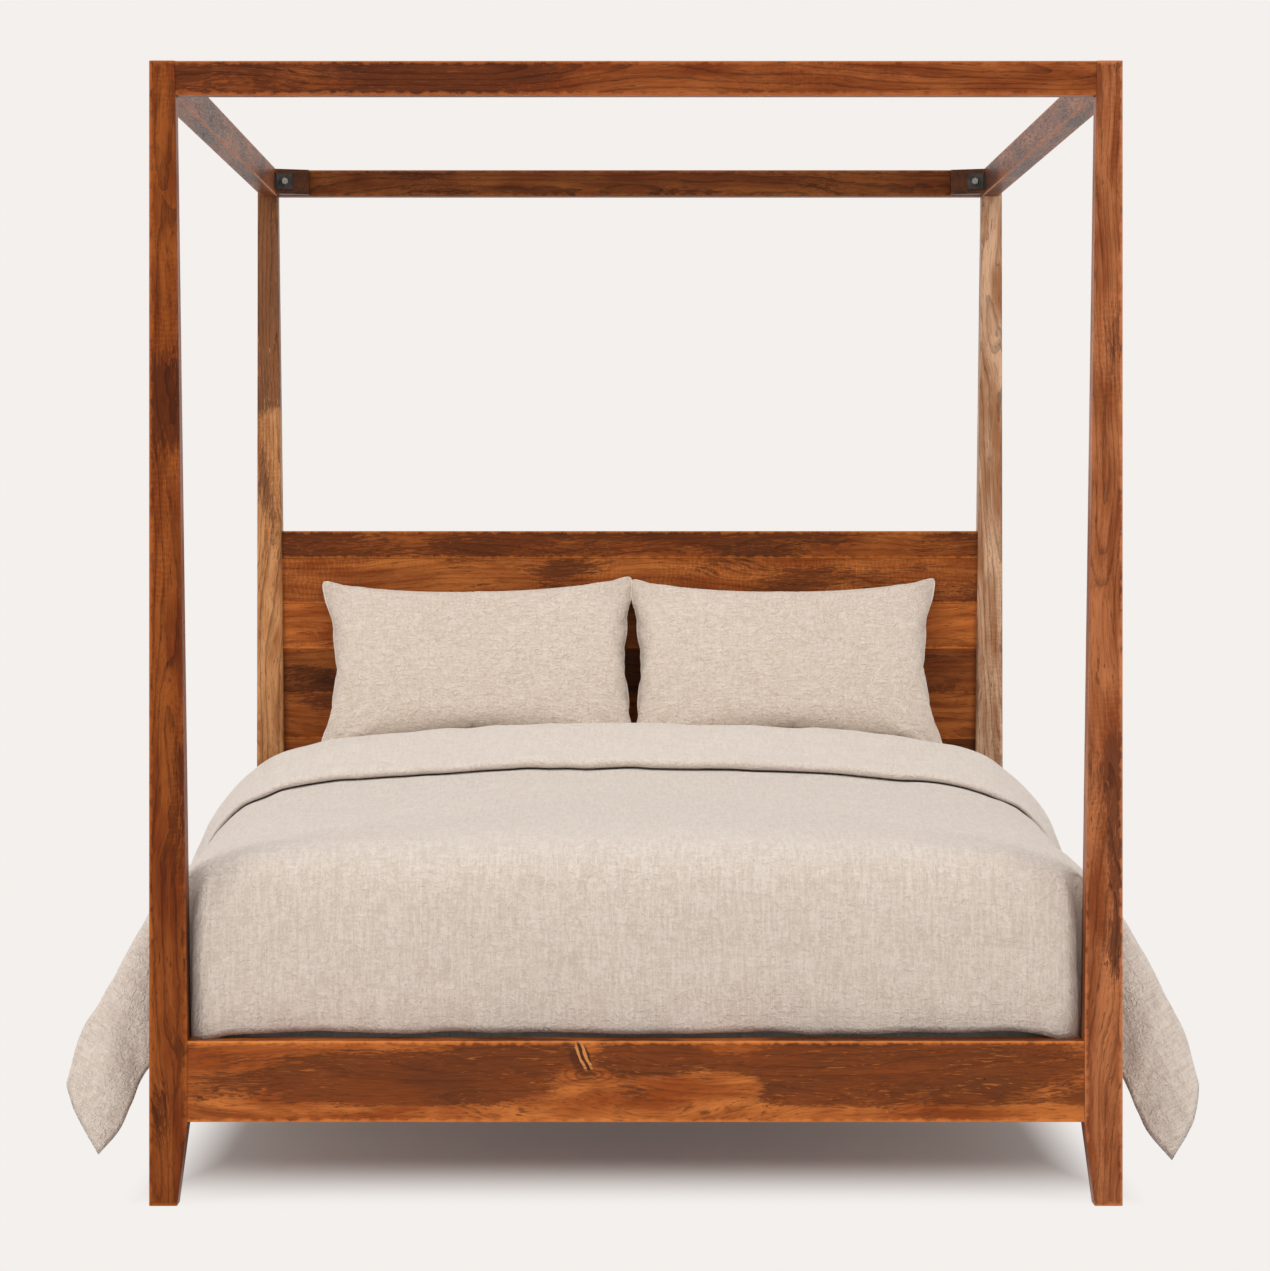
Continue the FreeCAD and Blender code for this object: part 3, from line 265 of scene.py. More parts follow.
def make_grain_group():
    """Chestnut grain along X: rings, pores, strokes, dark heartwood with a ragged border, and curly figure.

    Rings are bands of a warped distance from the pith line, pores and strokes are noise drawn out along X,
    and heartwood is slow noise above a threshold that finer noise frays.
    """
    tree, given, out = new_group(
        "chestnut grain",
        [("Vector", "Vector"), ("Sap", "Color"), ("Wood", "Color"), ("Heart", "Color"),
         ("Heart Share", "Float"), ("Figure", "Float"), ("Rings", "Float")],
        [("Color", "Color"), ("Roughness", "Float"), ("Height", "Float")])
    vector = given["Vector"]
    warped = wandering(tree, vector, (0.0, 0.13, 0.13),
                       {"Vector": stretched(tree, vector, (1.6, 7, 7)), "Scale": 1.0, "Detail": 2.0,
                        "Roughness": 0.45})
    rings = add_node(tree, "ShaderNodeTexWave",
                     {"Vector": stretched(tree, warped, (0.35, 1, 1)), "Scale": 26.0, "Distortion": 1.6,
                      "Detail": 2.0, "Detail Scale": 3.0, "Detail Roughness": 0.5},
                     wave_type="RINGS", rings_direction="X", wave_profile="SAW").outputs[1]
    pores = noise(tree, stretched(tree, warped, (18, 640, 640)), 1.0, 2.0, 0.6)
    strokes = noise(tree, stretched(tree, warped, (34, 300, 300)), 1.0, 2.0, 0.55, 0.6)
    streaks = noise(tree, stretched(tree, warped, (2.4, 46, 46)), 1.0, 4.0, 0.6)
    blotch = noise(tree, stretched(tree, vector, (2.1, 8, 8)), 1.0, 2.0, 0.5, 0.3)
    clusters = noise(tree, stretched(tree, vector, (7, 22, 22)), 1.0, 2.0, 0.5)
    fray = weighed(tree, calc(tree, "SUBTRACT", strokes, 0.5), 0.34,
                   calc(tree, "SUBTRACT", streaks, 0.5), 0.34)
    edge = calc(tree, "SUBTRACT", 0.72, calc(tree, "MULTIPLY", given["Heart Share"], 0.44))
    heart = remap(tree, calc(tree, "SUBTRACT", calc(tree, "ADD", blotch, fray), edge), -0.035, 0.045)
    tone = remap(tree, weighed(tree, streaks, 0.6, clusters, 0.4), 0.36, 0.66)
    colour = mixed(tree, tone, given["Wood"], given["Sap"])
    clouds = noise(tree, stretched(tree, warped, (4, 18, 18)), 1.0, 3.0, 0.6, 0.5)
    depth = weighed(tree, clouds, 0.7, streaks, 0.3)
    deep = mixed(tree, remap(tree, depth, 0.36, 0.62), given["Heart"],
                 mixed(tree, 0.42, given["Heart"], given["Wood"]))
    colour = mixed(tree, calc(tree, "MULTIPLY", heart, 0.94), colour, deep)
    bands = calc(tree, "MULTIPLY", remap(tree, rings, 0.62, 1.0), given["Rings"])
    lines = calc(tree, "SUBTRACT", 1.0, bands)
    colour = mixed(tree, 1.0, colour, lines, "MULTIPLY")
    fleck = remap(tree, pores, 0.34, 0.5, 0.72, 1.03)
    colour = mixed(tree, 1.0, colour, fleck, "MULTIPLY")
    gather = remap(tree, clusters, 0.36, 0.58)
    bright = calc(tree, "MULTIPLY", remap(tree, strokes, 0.60, 0.70), gather)
    dark = calc(tree, "MULTIPLY", remap(tree, strokes, 0.41, 0.30), gather)
    colour = mixed(tree, calc(tree, "MULTIPLY", bright, 0.5), colour, given["Sap"])
    colour = mixed(tree, calc(tree, "MULTIPLY", dark, 0.75), colour, given["Heart"])
    ripple = add_node(tree, "ShaderNodeTexWave",
                      {"Vector": stretched(tree, vector, (1, 0.9, 0.9)), "Scale": 30.0, "Distortion": 9.0,
                       "Detail": 3.0, "Detail Scale": 1.4},
                      wave_type="BANDS", bands_direction="X").outputs[1]
    curl = calc(tree, "MULTIPLY", remap(tree, ripple, 0.5, 1.0), remap(tree, blotch, 0.47, 0.60))
    curl = calc(tree, "MULTIPLY", curl, calc(tree, "SUBTRACT", 1.0, heart))
    shine = calc(tree, "ADD", 1.0, calc(tree, "MULTIPLY", curl, given["Figure"]))
    colour = mixed(tree, 1.0, colour, shine, "MULTIPLY")
    dots = add_node(tree, "ShaderNodeTexVoronoi", {"Vector": vector, "Scale": 24.0})
    spots = remap(tree, dots.outputs["Distance"], 0.05, 0.03)
    pinhole = calc(tree, "MULTIPLY", spots, remap(tree, noise(tree, vector, 5.0, 1.0), 0.6, 0.66))
    colour = mixed(tree, calc(tree, "MULTIPLY", pinhole, 0.85), colour, PINHOLE)
    rough = remap(tree, pores, 0.3, 0.6, 0.52, 0.34)
    rise = calc(tree, "SUBTRACT", weighed(tree, fleck, 0.8, lines, 0.4), pinhole)
    tree.links.new(colour, out["Color"])
    tree.links.new(rough, out["Roughness"])
    tree.links.new(rise, out["Height"])
    return tree


def make_wear_and_highlight_group():
    """Mask of the worn arrises of a box, which also serves as a painted highlight along them: where the
    second smallest of the distances to its faces is small, broken up by noise."""
    tree, given, out = new_group(
        "worn and highlit edge",
        [("Vector", "Vector"), ("Middle", "Vector"), ("Half", "Vector"), ("Reach", "Float")],
        [("Wear And Highlight", "Float")])
    off = vector_calc(tree, "SUBTRACT", given["Vector"], given["Middle"])
    depth = vector_calc(tree, "SUBTRACT", given["Half"], vector_calc(tree, "ABSOLUTE", off))
    x, y, z = add_node(tree, "ShaderNodeSeparateXYZ", {0: depth}).outputs
    second = calc(tree, "MAXIMUM", calc(tree, "MINIMUM", x, y),
                  calc(tree, "MINIMUM", calc(tree, "MAXIMUM", x, y), z))
    broken = remap(tree, noise(tree, given["Vector"], 45.0, 3.0, 0.6), 0.3, 0.7, 0.35, 1.5)
    ragged = calc(tree, "MULTIPLY", given["Reach"], broken)
    worn = calc(tree, "SUBTRACT", 1.0, calc(tree, "DIVIDE", second, ragged), clamp=True)
    tree.links.new(worn, out["Wear And Highlight"])
    return tree


# The turn that lays the grain's X along each axis, and the order and signs of the axes after it
GRAIN_TURNS = {"X": (0, 0, 0), "Y": (0, 0, -math.pi / 2), "Z": (0, math.pi / 2, 0)}
GRAIN_ORDERS = {"X": (0, 1, 2), "Y": (1, 0, 2), "Z": (2, 1, 0)}
GRAIN_SIGNS = {"X": (1, 1, 1), "Y": (1, -1, 1), "Z": (1, 1, -1)}
# Tones of the wood before a piece's own lift
SAP = (0.37, 0.108, 0.0210, 1)
WOOD = (0.182, 0.0370, 0.0050, 1)
HEART = (0.082, 0.0210, 0.0050, 1)
PINHOLE = (0.012, 0.006, 0.003, 1)
# How much paler than sapwood the worn edges are, a lightening that is also a painted highlight along the
# arrises, how far in they reach in metres, and how much of them shows
WEAR_AND_HIGHLIGHT_LIFT = 1.6
WEAR_AND_HIGHLIGHT_REACH = 0.007
WEAR_AND_HIGHLIGHT_SHARE = 0.75
# Share of heartwood at places along the grain, in metres: along x on rails and boards, up z on posts
FOOT_RAIL_PATCHES = [(-0.81, 0.52), (-0.60, 0.80), (-0.30, 0.86), (-0.16, 0.62), (-0.08, 0.28),
                     (-0.02, 0.75), (0.05, 0.72), (0.12, 0.40), (0.19, 0.45), (0.27, 0.98), (0.42, 0.95),
                     (0.52, 0.55), (0.66, 0.66), (0.81, 0.78)]
HEAD_POST_PATCHES = [(0.0, 0.30), (1.44, 0.22), (1.53, 0.85), (1.78, 0.80), (2.04, 0.55)]
FOOT_POST_PATCHES = [(0.0, 0.48), (0.38, 0.44), (0.80, 0.24), (1.40, 0.08), (2.04, 0.0)]
CANOPY_FOOT_PATCHES = [(-0.86, 0.56), (-0.40, 0.50), (0.10, 0.30), (0.45, 0.14), (0.86, 0.12)]
HEADBOARD_PATCHES = [(-0.80, 0.0), (-0.54, 0.02), (-0.40, 0.36), (0.10, 0.24), (0.45, 0.16), (0.80, 0.34)]
# Heights in metres over which the foot rail's heartwood sets in at its lower edge and fades at its upper one
FOOT_RAIL_LOW = (0.158, 0.196)
FOOT_RAIL_HIGH = (0.252, 0.290)
# The knot on the foot rail, in metres: its flame's middle, its eye, its lean and the shade beside it
KNOT_FLAME = (-0.093, 0.0, 0.264)
KNOT_EYE = (-0.083, 0.0, 0.233)
KNOT_TILT = -0.42
KNOT_SHADE = (-0.013, 0.0, 0.0)
KNOT_HALF_WIDTH = 0.012
KNOT_HALF_LENGTH = 0.028
KNOT_SCALES = (1 / KNOT_HALF_WIDTH, 0, 1 / KNOT_HALF_LENGTH)
KNOT_BRIGHT = (0.52, 0.205, 0.062, 1)
KNOT_DARK = (0.062, 0.017, 0.006, 1)


def grain_start(name, along, slide):
    """Place of the grain's own axes, so that the pith runs at a small offset from the piece's middle."""
    low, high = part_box(name)
    middle = (low + high) / 2
    turned = [middle[axis] * sign for axis, sign in zip(GRAIN_ORDERS[along], GRAIN_SIGNS[along])]
    return tuple(part - place for part, place in zip(slide, turned))


def wood_finish(name, grain, wear_and_highlight, along, slide, heart_share, figure, rings, lift):
    """Oiled wood with its grain along an axis; slide moves the grain, and lift lightens all its tones.

    The share of heartwood is one number, a list of stops along the grain, or a function of the place.
    """
    tones = {label: tuple(np.minimum(1, np.array(tone[:3]) * lift)) + (1,)
             for label, tone in (("Sap", SAP), ("Wood", WOOD), ("Heart", HEART))}

    def inputs(tree):
        place = object_place(tree)
        turned = add_node(tree, "ShaderNodeMapping",
                          {"Vector": place, "Location": grain_start(name, along, slide),
                           "Rotation": GRAIN_TURNS[along]}).outputs[0]
        share = heart_share
        if isinstance(heart_share, list):
            share = along_axis(tree, place, along, heart_share)
        elif callable(heart_share):
            share = heart_share(tree, place)
        return {"Vector": turned, "Heart Share": share, "Figure": figure, "Rings": rings, **tones}

    material = new_finish(name + " wood", grain, inputs, bump=0.3, bump_distance=0.0005,
                          Specular_IOR_Level=0.11)
    tree, shader, colour = finish_parts(material)
    # Worn arrises, paler than sapwood; the same lightening is also a painted highlight along the rounded
    # edges
    low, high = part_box(name)
    worn = add_node(tree, "ShaderNodeGroup",
                    {"Vector": object_place(tree), "Middle": (low + high) / 2, "Half": (high - low) / 2,
                     "Reach": WEAR_AND_HIGHLIGHT_REACH}, node_tree=wear_and_highlight)
    pale = tuple(min(1, part * WEAR_AND_HIGHLIGHT_LIFT) for part in tones["Sap"][:3]) + (1,)
    colour = mixed(tree, calc(tree, "MULTIPLY", worn.outputs["Wear And Highlight"], WEAR_AND_HIGHLIGHT_SHARE), colour, pale)
    tree.links.new(colour, shader.inputs["Base Color"])
    return material


def along_axis(tree, place, axis, stops):
    """A share that runs through the given (place, share) stops along one axis."""
    start = stops[0][0]
    length = stops[-1][0] - start
    ramp = add_node(tree, "ShaderNodeValToRGB")
    reading = add_node(tree, "ShaderNodeSeparateXYZ", {0: place}).outputs[axis]
    walked = calc(tree, "DIVIDE", calc(tree, "SUBTRACT", reading, start), length)
    tree.links.new(walked, ramp.inputs["Fac"])
    ramp.color_ramp.interpolation = "EASE"
    while len(ramp.color_ramp.elements) < len(stops):
        ramp.color_ramp.elements.new(0.5)
    for element, (at, share) in zip(ramp.color_ramp.elements, stops):
        element.position = (at - start) / length
        element.color = (share, share, share, 1)
    return ramp.outputs["Color"]


def foot_rail_heart(tree, place):
    """Heartwood on the foot rail: dark patches along its length, less at its lower and upper edges."""
    patches = along_axis(tree, place, "X", FOOT_RAIL_PATCHES)
    height = add_node(tree, "ShaderNodeSeparateXYZ", {0: place}).outputs["Z"]
    low = remap(tree, height, *FOOT_RAIL_LOW, 0.05, 1.0)
    share = calc(tree, "MULTIPLY", patches, low)
    return calc(tree, "SUBTRACT", share, remap(tree, height, *FOOT_RAIL_HIGH, 0.0, 0.28))


def add_knot(name):
    """A small knot under a bright flame: an ellipse with stripes along it, a dark rim and a dark eye."""
    tree, shader, colour = finish_parts(bpy.data.materials[name + " wood"])
    place = object_place(tree)
    bent = wandering(tree, place, (0.009, 0.0, 0.009), {"Vector": place, "Scale": 60.0, "Detail": 2.0})
    local = add_node(tree, "ShaderNodeMapping",
                     {"Vector": bent, "Location": KNOT_FLAME, "Rotation": (0, KNOT_TILT, 0)},
                     vector_type="TEXTURE").outputs[0]
    oval = vector_calc(tree, "LENGTH", stretched(tree, local, KNOT_SCALES))
    stripes = add_node(tree, "ShaderNodeTexWave", {"Vector": local, "Scale": 30.0, "Distortion": 0.7,
                                                   "Detail": 1.0}, bands_direction="X").outputs[1]
    flame = mixed(tree, remap(tree, stripes, 0.25, 0.75), KNOT_DARK, KNOT_BRIGHT)
    beside = vector_calc(tree, "SUBTRACT", local, KNOT_SHADE)
    shade = vector_calc(tree, "LENGTH", stretched(tree, beside, KNOT_SCALES))
    colour = mixed(tree, calc(tree, "MULTIPLY", remap(tree, shade, 1.3, 0.6), 0.75), colour, KNOT_DARK)
    colour = mixed(tree, remap(tree, oval, 1.1, 0.8), colour, flame)
    eye = vector_calc(tree, "SUBTRACT", bent, KNOT_EYE)
    swirl = vector_calc(tree, "LENGTH", stretched(tree, eye, (0.35, 0, 1)))
    rings = remap(tree, calc(tree, "SINE", calc(tree, "MULTIPLY", swirl, 950.0)), -0.2, 1.0)
    lines = calc(tree, "MULTIPLY", rings, remap(tree, swirl, 0.034, 0.004, 0.0, 0.6))
    core = remap(tree, swirl, 0.0075, 0.002, 0.0, 0.8)
    colour = mixed(tree, calc(tree, "MAXIMUM", lines, core), colour, KNOT_DARK)
    tree.links.new(colour, shader.inputs["Base Color"])


def dress(names, material):
    """Gives CAD nodes a finish."""
    for name in names:
        mesh = nodes[name].data
        if not mesh.materials:
            mesh.materials.append(material)
        for slot in nodes[name].material_slots:
            slot.material = material


WOODEN_PIECES = [
    # pieces, grain axis, slide of the grain, share of heartwood, curly figure, rings, lift
    (["foot_post_left"], "Z", (0.30, 0.010, 0.012), FOOT_POST_PATCHES, 0.22, 0.42, (0.70, 0.62, 0.50)),
    (["foot_post_right"], "Z", (2.90, 0.016, -0.010), 0.14, 0.16, 0.40, (1.05, 1.24, 2.3)),
    (["head_post_left"], "Z", (5.10, 0.02, 0.014), HEAD_POST_PATCHES, 0.15, 0.45, (1.40, 2.35, 5.0)),
    (["head_post_right"], "Z", (7.70, -0.014, 0.02), 0.14, 0.15, 0.4, (1.42, 3.0, 9.6)),
    (["foot_rail"], "X", (1.05, 0.09, 0.03), foot_rail_heart, 0.0, 0.22, (1.3, 1.36, 1.5)),
    (["head_rail"], "X", (6.40, 0.06, 0.02), 0.45, 0.2, 0.25, 1.0),
    (["side_rail_left", "side_rail_right"], "Y", (3.3, 0.05, 0.04), 0.40, 0.2, 0.25, 1.0),
    (["canopy_rail_foot"], "X", (9.20, 0.05, -0.02), CANOPY_FOOT_PATCHES, 0.15, 0.45, (0.80, 0.76, 0.9)),
    (["canopy_rail_head"], "X", (11.7, 0.05, 0.03), 0.30, 0.1, 0.4, 0.41),
    (["canopy_rail_left"], "Y", (13.1, 0.03, 0.02), 0.42, 0.2, 0.4, (0.66, 0.72, 1.0)),
    (["canopy_rail_right"], "Y", (14.3, 0.03, 0.02), 0.42, 0.2, 0.4, (0.66, 0.72, 1.0)),
    (["canopy_corner_block_left", "canopy_corner_block_right"], "X", (2.2, 0.03, 0.02), 0.5, 0.2, 0.3, 0.2),
    (["headboard_board_9"], "X", (15.4, 0.03, 0.02), 0.55, 0.0, 0.3, (0.84, 0.84, 0.8)),
    (["headboard_board_8"], "X", (17.2, 0.03, 0.05), HEADBOARD_PATCHES, 0.30, 0.3, (0.96, 1.0, 1.05)),
    (["headboard_board_7"], "X", (19.8, 0.04, 0.02), 0.08, 0.1, 0.3, 1.2),
    (["headboard_board_6"], "X", (21.3, 0.03, 0.03), 0.60, 0.0, 0.3, 0.74),
    (["headboard_board_5"], "X", (23.9, 0.05, 0.04), 0.35, 0.2, 0.3, 1.0),
    (["headboard_board_4", "headboard_board_2"], "X", (25.6, 0.03, 0.04), 0.45, 0.2, 0.3, 1.0),
    (["headboard_board_3", "headboard_board_1"], "X", (27.1, 0.04, 0.02), 0.5, 0.2, 0.3, 0.95),
    (["headboard_batten_left", "headboard_batten_right"], "Z", (4.4, 0.02, 0.03), 0.4, 0.2, 0.25, 1.0),
    (["slat_cleat_left", "slat_cleat_right"], "Y", (8.1, 0.03, 0.03), 0.3, 0.1, 0.2, 1.4),
    (["centre_beam"], "Y", (16.1, 0.03, 0.03), 0.15, 0.1, 0.2, 2.0),
    (["centre_leg"], "Z", (18.1, 0.02, 0.02), 0.15, 0.1, 0.2, 2.0),
    ([f"slat_{number:02d}" for number in range(1, 11)], "X", (20.1, 0.03, 0.04), 0.06, 0.1, 0.2, 2.4),
]


def finish_wood():
    """A finish of its own for each wooden piece, and the foot rail's knot."""
    grain = make_grain_group()
    wear_and_highlight = make_wear_and_highlight_group()
    for names, along, slide, heart_share, figure, rings, lift in WOODEN_PIECES:
        for name in names:
            dress([name], wood_finish(name, grain, wear_and_highlight, along, slide, heart_share, figure, rings, lift))
    add_knot("foot_rail")


# Metal and felt


def make_speckle_group():
    """Fine speckle and slow patches that mix two tones, for steel and felt."""
    tree, given, out = new_group(
        "speckle", [("Vector", "Vector"), ("Tone", "Color"), ("Worn", "Color"), ("Grain", "Float"),
                    ("Smooth", "Float"), ("Dull", "Float")],
        [("Color", "Color"), ("Roughness", "Float"), ("Height", "Float")])
    fine = noise(tree, given["Vector"], given["Grain"], 3.0, 0.6)
    patch = noise(tree, given["Vector"], 38.0, 2.0)
    worn = remap(tree, weighed(tree, fine, 0.6, patch, 0.6), 0.5, 0.8)
    tree.links.new(mixed(tree, worn, given["Tone"], given["Worn"]), out["Color"])
    spread = calc(tree, "SUBTRACT", given["Dull"], given["Smooth"])
    rough = calc(tree, "ADD", given["Smooth"], calc(tree, "MULTIPLY", fine, spread))
    tree.links.new(rough, out["Roughness"])
    tree.links.new(fine, out["Height"])
    return tree


def speckle_finish(name, group, tone, worn, grain, smooth, dull, metallic, bump_distance):
    """Steel or felt: two speckled tones, the grain's scale, and a roughness between smooth and dull."""
    def inputs(tree):
        return {"Vector": object_place(tree), "Tone": tone, "Worn": worn, "Grain": grain, "Smooth": smooth,
                "Dull": dull}
    return new_finish(name, group, inputs, bump=0.3, bump_distance=bump_distance, Metallic=metallic)


def finish_metal():
    """Black coated steel on the brackets, washers and saddles, worn steel on the canopy's bolts, bright zinc
    on the side rails' bolts, and felt under the leg."""
    group = make_speckle_group()
    dark = speckle_finish("black steel", group, (0.012, 0.011, 0.010, 1), (0.045, 0.040, 0.036, 1),
                          grain=900.0, smooth=0.35, dull=0.6, metallic=0.7, bump_distance=0.0001)
    zinc = speckle_finish("zinc steel", group, (0.45, 0.44, 0.42, 1), (0.62, 0.61, 0.58, 1),
                          grain=700.0, smooth=0.22, dull=0.5, metallic=1.0, bump_distance=0.00008)
    worn = speckle_finish("worn steel", group, (0.13, 0.12, 0.11, 1), (0.24, 0.23, 0.21, 1),
                          grain=700.0, smooth=0.35, dull=0.6, metallic=0.9, bump_distance=0.00008)
    felt = speckle_finish("grey felt", group, (0.10, 0.092, 0.084, 1), (0.21, 0.20, 0.185, 1),
                          grain=1600.0, smooth=0.85, dull=1.0, metallic=0.0, bump_distance=0.0006)
    dress(["canopy_bracket_left", "canopy_bracket_right", "canopy_bracket_washers", "beam_saddle_foot",
           "beam_saddle_head"], dark)
    dress(["side_rail_bolts", "side_rail_plate_washers", "side_rail_nuts"], zinc)
    dress(["canopy_bracket_bolts"], worn)
    dress(["centre_leg_glide"], felt)


# Linen


def make_weave_group():
    """Slubby plain weave on a flat map in metres: warp runs along V and weft along U.

    Threads are two crossed waves, slubs are noise drawn out along each thread direction on a slightly bent
    map, and slower noise crumples and mottles the whole.
    """
    tree, given, out = new_group(
        "linen weave", [("Vector", "Vector"), ("Pale", "Color"), ("Mid", "Color"), ("Fleck", "Color"),
                        ("Warp Slub", "Float"), ("Weft Slub", "Float"), ("Crumple", "Float")],
        [("Color", "Color"), ("Roughness", "Float"), ("Height", "Float")])
    vector = wandering(tree, given["Vector"], (0.004, 0.004, 0.0),
                       {"Vector": given["Vector"], "Scale": 34.0, "Detail": 2.0})
    warp = noise(tree, stretched(tree, vector, (560, 42, 1)), 1.0, 3.0, 0.6)
    weft = noise(tree, stretched(tree, vector, (38, 580, 1)), 1.0, 3.0, 0.6)
    broad_warp = noise(tree, stretched(tree, vector, (160, 13, 1)), 1.0, 2.0, 0.5)
    broad_weft = noise(tree, stretched(tree, vector, (15, 160, 1)), 1.0, 2.0, 0.5)
    crumple = weighed(tree, noise(tree, vector, 105.0, 1.5, 0.45, 1.4), 0.6,
                      noise(tree, vector, 52.0, 2.0, 0.5, 1.0), 0.4)
    mottle = noise(tree, vector, 11.0, 3.0, 0.6)
    along = calc(tree, "SUBTRACT", weighed(tree, warp, 0.6, broad_warp, 0.5), 0.55)
    across = calc(tree, "SUBTRACT", weighed(tree, weft, 0.6, broad_weft, 0.5), 0.55)
    slub = weighed(tree, along, given["Warp Slub"], across, given["Weft Slub"])
    pattern = calc(tree, "ADD", slub, calc(tree, "MULTIPLY", calc(tree, "SUBTRACT", mottle, 0.5), 0.12))
    pattern = calc(tree, "ADD", pattern, calc(tree, "MULTIPLY", calc(tree, "SUBTRACT", crumple, 0.5), 0.75))
    colour = mixed(tree, remap(tree, pattern, -0.18, 0.18), given["Mid"], given["Pale"])
    dark = calc(tree, "MINIMUM", remap(tree, warp, 0.37, 0.27), remap(tree, broad_weft, 0.44, 0.58))
    light = calc(tree, "MINIMUM", remap(tree, weft, 0.37, 0.27), remap(tree, broad_warp, 0.44, 0.58))
    flecks = calc(tree, "MULTIPLY", calc(tree, "MAXIMUM", dark, light), 0.5)
    colour = mixed(tree, flecks, colour, given["Fleck"])
    waves = [add_node(tree, "ShaderNodeTexWave", {"Vector": vector, "Scale": 130.0, "Distortion": 1.2,
                                                  "Detail": 1.0}, bands_direction=way).outputs[1]
             for way in ("X", "Y")]
    thread = calc(tree, "MAXIMUM", *waves)
    rise = weighed(tree, slub, 0.34, thread, 0.012)
    rise = calc(tree, "ADD", rise, calc(tree, "MULTIPLY", crumple, given["Crumple"]))
    tree.links.new(colour, out["Color"])
    tree.links.new(remap(tree, pattern, -0.3, 0.3, 0.95, 0.82), out["Roughness"])
    tree.links.new(rise, out["Height"])
    return tree


STITCHES_PER_METRE = 170.0


def make_seam_group():
    """A sewn line at a fixed inset from the edges of a flat rectangle: its groove and its stitches.

    The distance to the nearest edge is the smaller of the two half sizes less the place; the groove is where
    that distance is near the inset, and stitches are dashes of it.
    """
    tree, given, out = new_group(
        "sewn edge",
        [("Vector", "Vector"), ("Half Width", "Float"), ("Half Length", "Float"), ("Inset", "Float")],
        [("Groove", "Float"), ("Stitch", "Float"), ("Rim", "Float")])
    split = add_node(tree, "ShaderNodeSeparateXYZ", {0: given["Vector"]})
    inside = calc(tree, "MINIMUM",
                  calc(tree, "SUBTRACT", given["Half Width"], calc(tree, "ABSOLUTE", split.outputs[0])),
                  calc(tree, "SUBTRACT", given["Half Length"], calc(tree, "ABSOLUTE", split.outputs[1])))
    off = calc(tree, "ABSOLUTE", calc(tree, "SUBTRACT", inside, given["Inset"]))
    walked = calc(tree, "ADD", split.outputs[0], split.outputs[1])
    dashes = calc(tree, "FRACT", calc(tree, "MULTIPLY", walked, STITCHES_PER_METRE))
    tree.links.new(remap(tree, off, 0.0034, 0.0010), out["Groove"])
    tree.links.new(calc(tree, "MULTIPLY", remap(tree, off, 0.0009, 0.0005), remap(tree, dashes, 0.7, 0.6)),
                   out["Stitch"])
    tree.links.new(remap(tree, inside, given["Inset"], 0.0), out["Rim"])
    return tree


def linen_finish(name, weave, tones, slubs, crumple, seam=None, edges=None):
    """Washed linen; seam and edges, where given, sew a line inside the cloth's edges."""
    def inputs(tree):
        flat = add_node(tree, "ShaderNodeUVMap", uv_map="cloth").outputs[0]
        return {"Vector": flat, "Pale": tones[0], "Mid": tones[1], "Fleck": tones[2], "Warp Slub": slubs[0],
                "Weft Slub": slubs[1], "Crumple": crumple}
    material = new_finish(name, weave, inputs, bump=1.0, bump_distance=0.0070, Sheen_Weight=0.35,
                          Sheen_Roughness=0.45, Specular_IOR_Level=0.12)
    if seam is not None:
        tree, shader, colour = finish_parts(material)
        relief = shader.inputs["Normal"].links[0].from_node
        rise = relief.inputs["Height"].links[0].from_socket
        flat = add_node(tree, "ShaderNodeUVMap", uv_map="cloth").outputs[0]
        half_width, half_length, inset = edges
        sewn = add_node(tree, "ShaderNodeGroup",
                        {"Vector": flat, "Half Width": half_width, "Half Length": half_length,
                         "Inset": inset}, node_tree=seam)
        shade = mixed(tree, calc(tree, "MULTIPLY", sewn.outputs["Groove"], 0.25), colour, tones[0])
        shade = mixed(tree, calc(tree, "MULTIPLY", sewn.outputs["Rim"], 0.45), shade, tones[0])
        tree.links.new(shade, shader.inputs["Base Color"])
        rise = calc(tree, "SUBTRACT", rise, calc(tree, "MULTIPLY", sewn.outputs["Groove"], 0.05))
        rise = calc(tree, "ADD", rise, calc(tree, "MULTIPLY", sewn.outputs["Stitch"], 0.06))
        tree.links.new(rise, relief.inputs["Height"])
    return material


# Duvet


# Half sections across the bed, from the middle to the hem: the place along the bed, then (x, z) in mm.
COVER_SECTIONS = [
    (-900, [(0, 640), (340, 637), (600, 632), (690, 625), (735, 616), (762, 608), (782, 599), (838, 558),
            (882, 505), (921, 440), (971, 340), (1006, 258), (1020, 200)]),
    (-700, [(0, 646), (340, 642), (600, 636), (690, 628), (735, 620), (762, 612), (782, 603), (840, 564),
            (885, 515), (924, 450), (976, 345), (1018, 255), (1041, 198)]),
    (-350, [(0, 653), (340, 648), (600, 638), (690, 630), (735, 622), (762, 614), (782, 605), (841, 567),
            (887, 520), (926, 456), (977, 348), (1020, 256), (1043, 202)]),
    (0, [(0, 661), (340, 653), (600, 640), (690, 632), (735, 624), (762, 616), (782, 607), (842, 570),
         (889, 525), (928, 462), (978, 352), (1021, 256), (1043, 207)]),
    (466, [(0, 677), (340, 669), (600, 653), (690, 643), (735, 635), (762, 628), (782, 620), (846, 588),
           (898, 538), (935, 470), (980, 360), (1019, 262), (1036, 215)]),
    (700, [(0, 684), (340, 675), (600, 657), (690, 646), (735, 637), (762, 629), (782, 620), (846, 586),
           (897, 537), (933, 470), (979, 360), (1018, 264), (1035, 220)]),
    (860, [(0, 684), (340, 676), (600, 658), (690, 647), (735, 637), (762, 628), (782, 619), (845, 580),
           (895, 535), (930, 478), (978, 362), (1016, 268), (1032, 228)]),
]
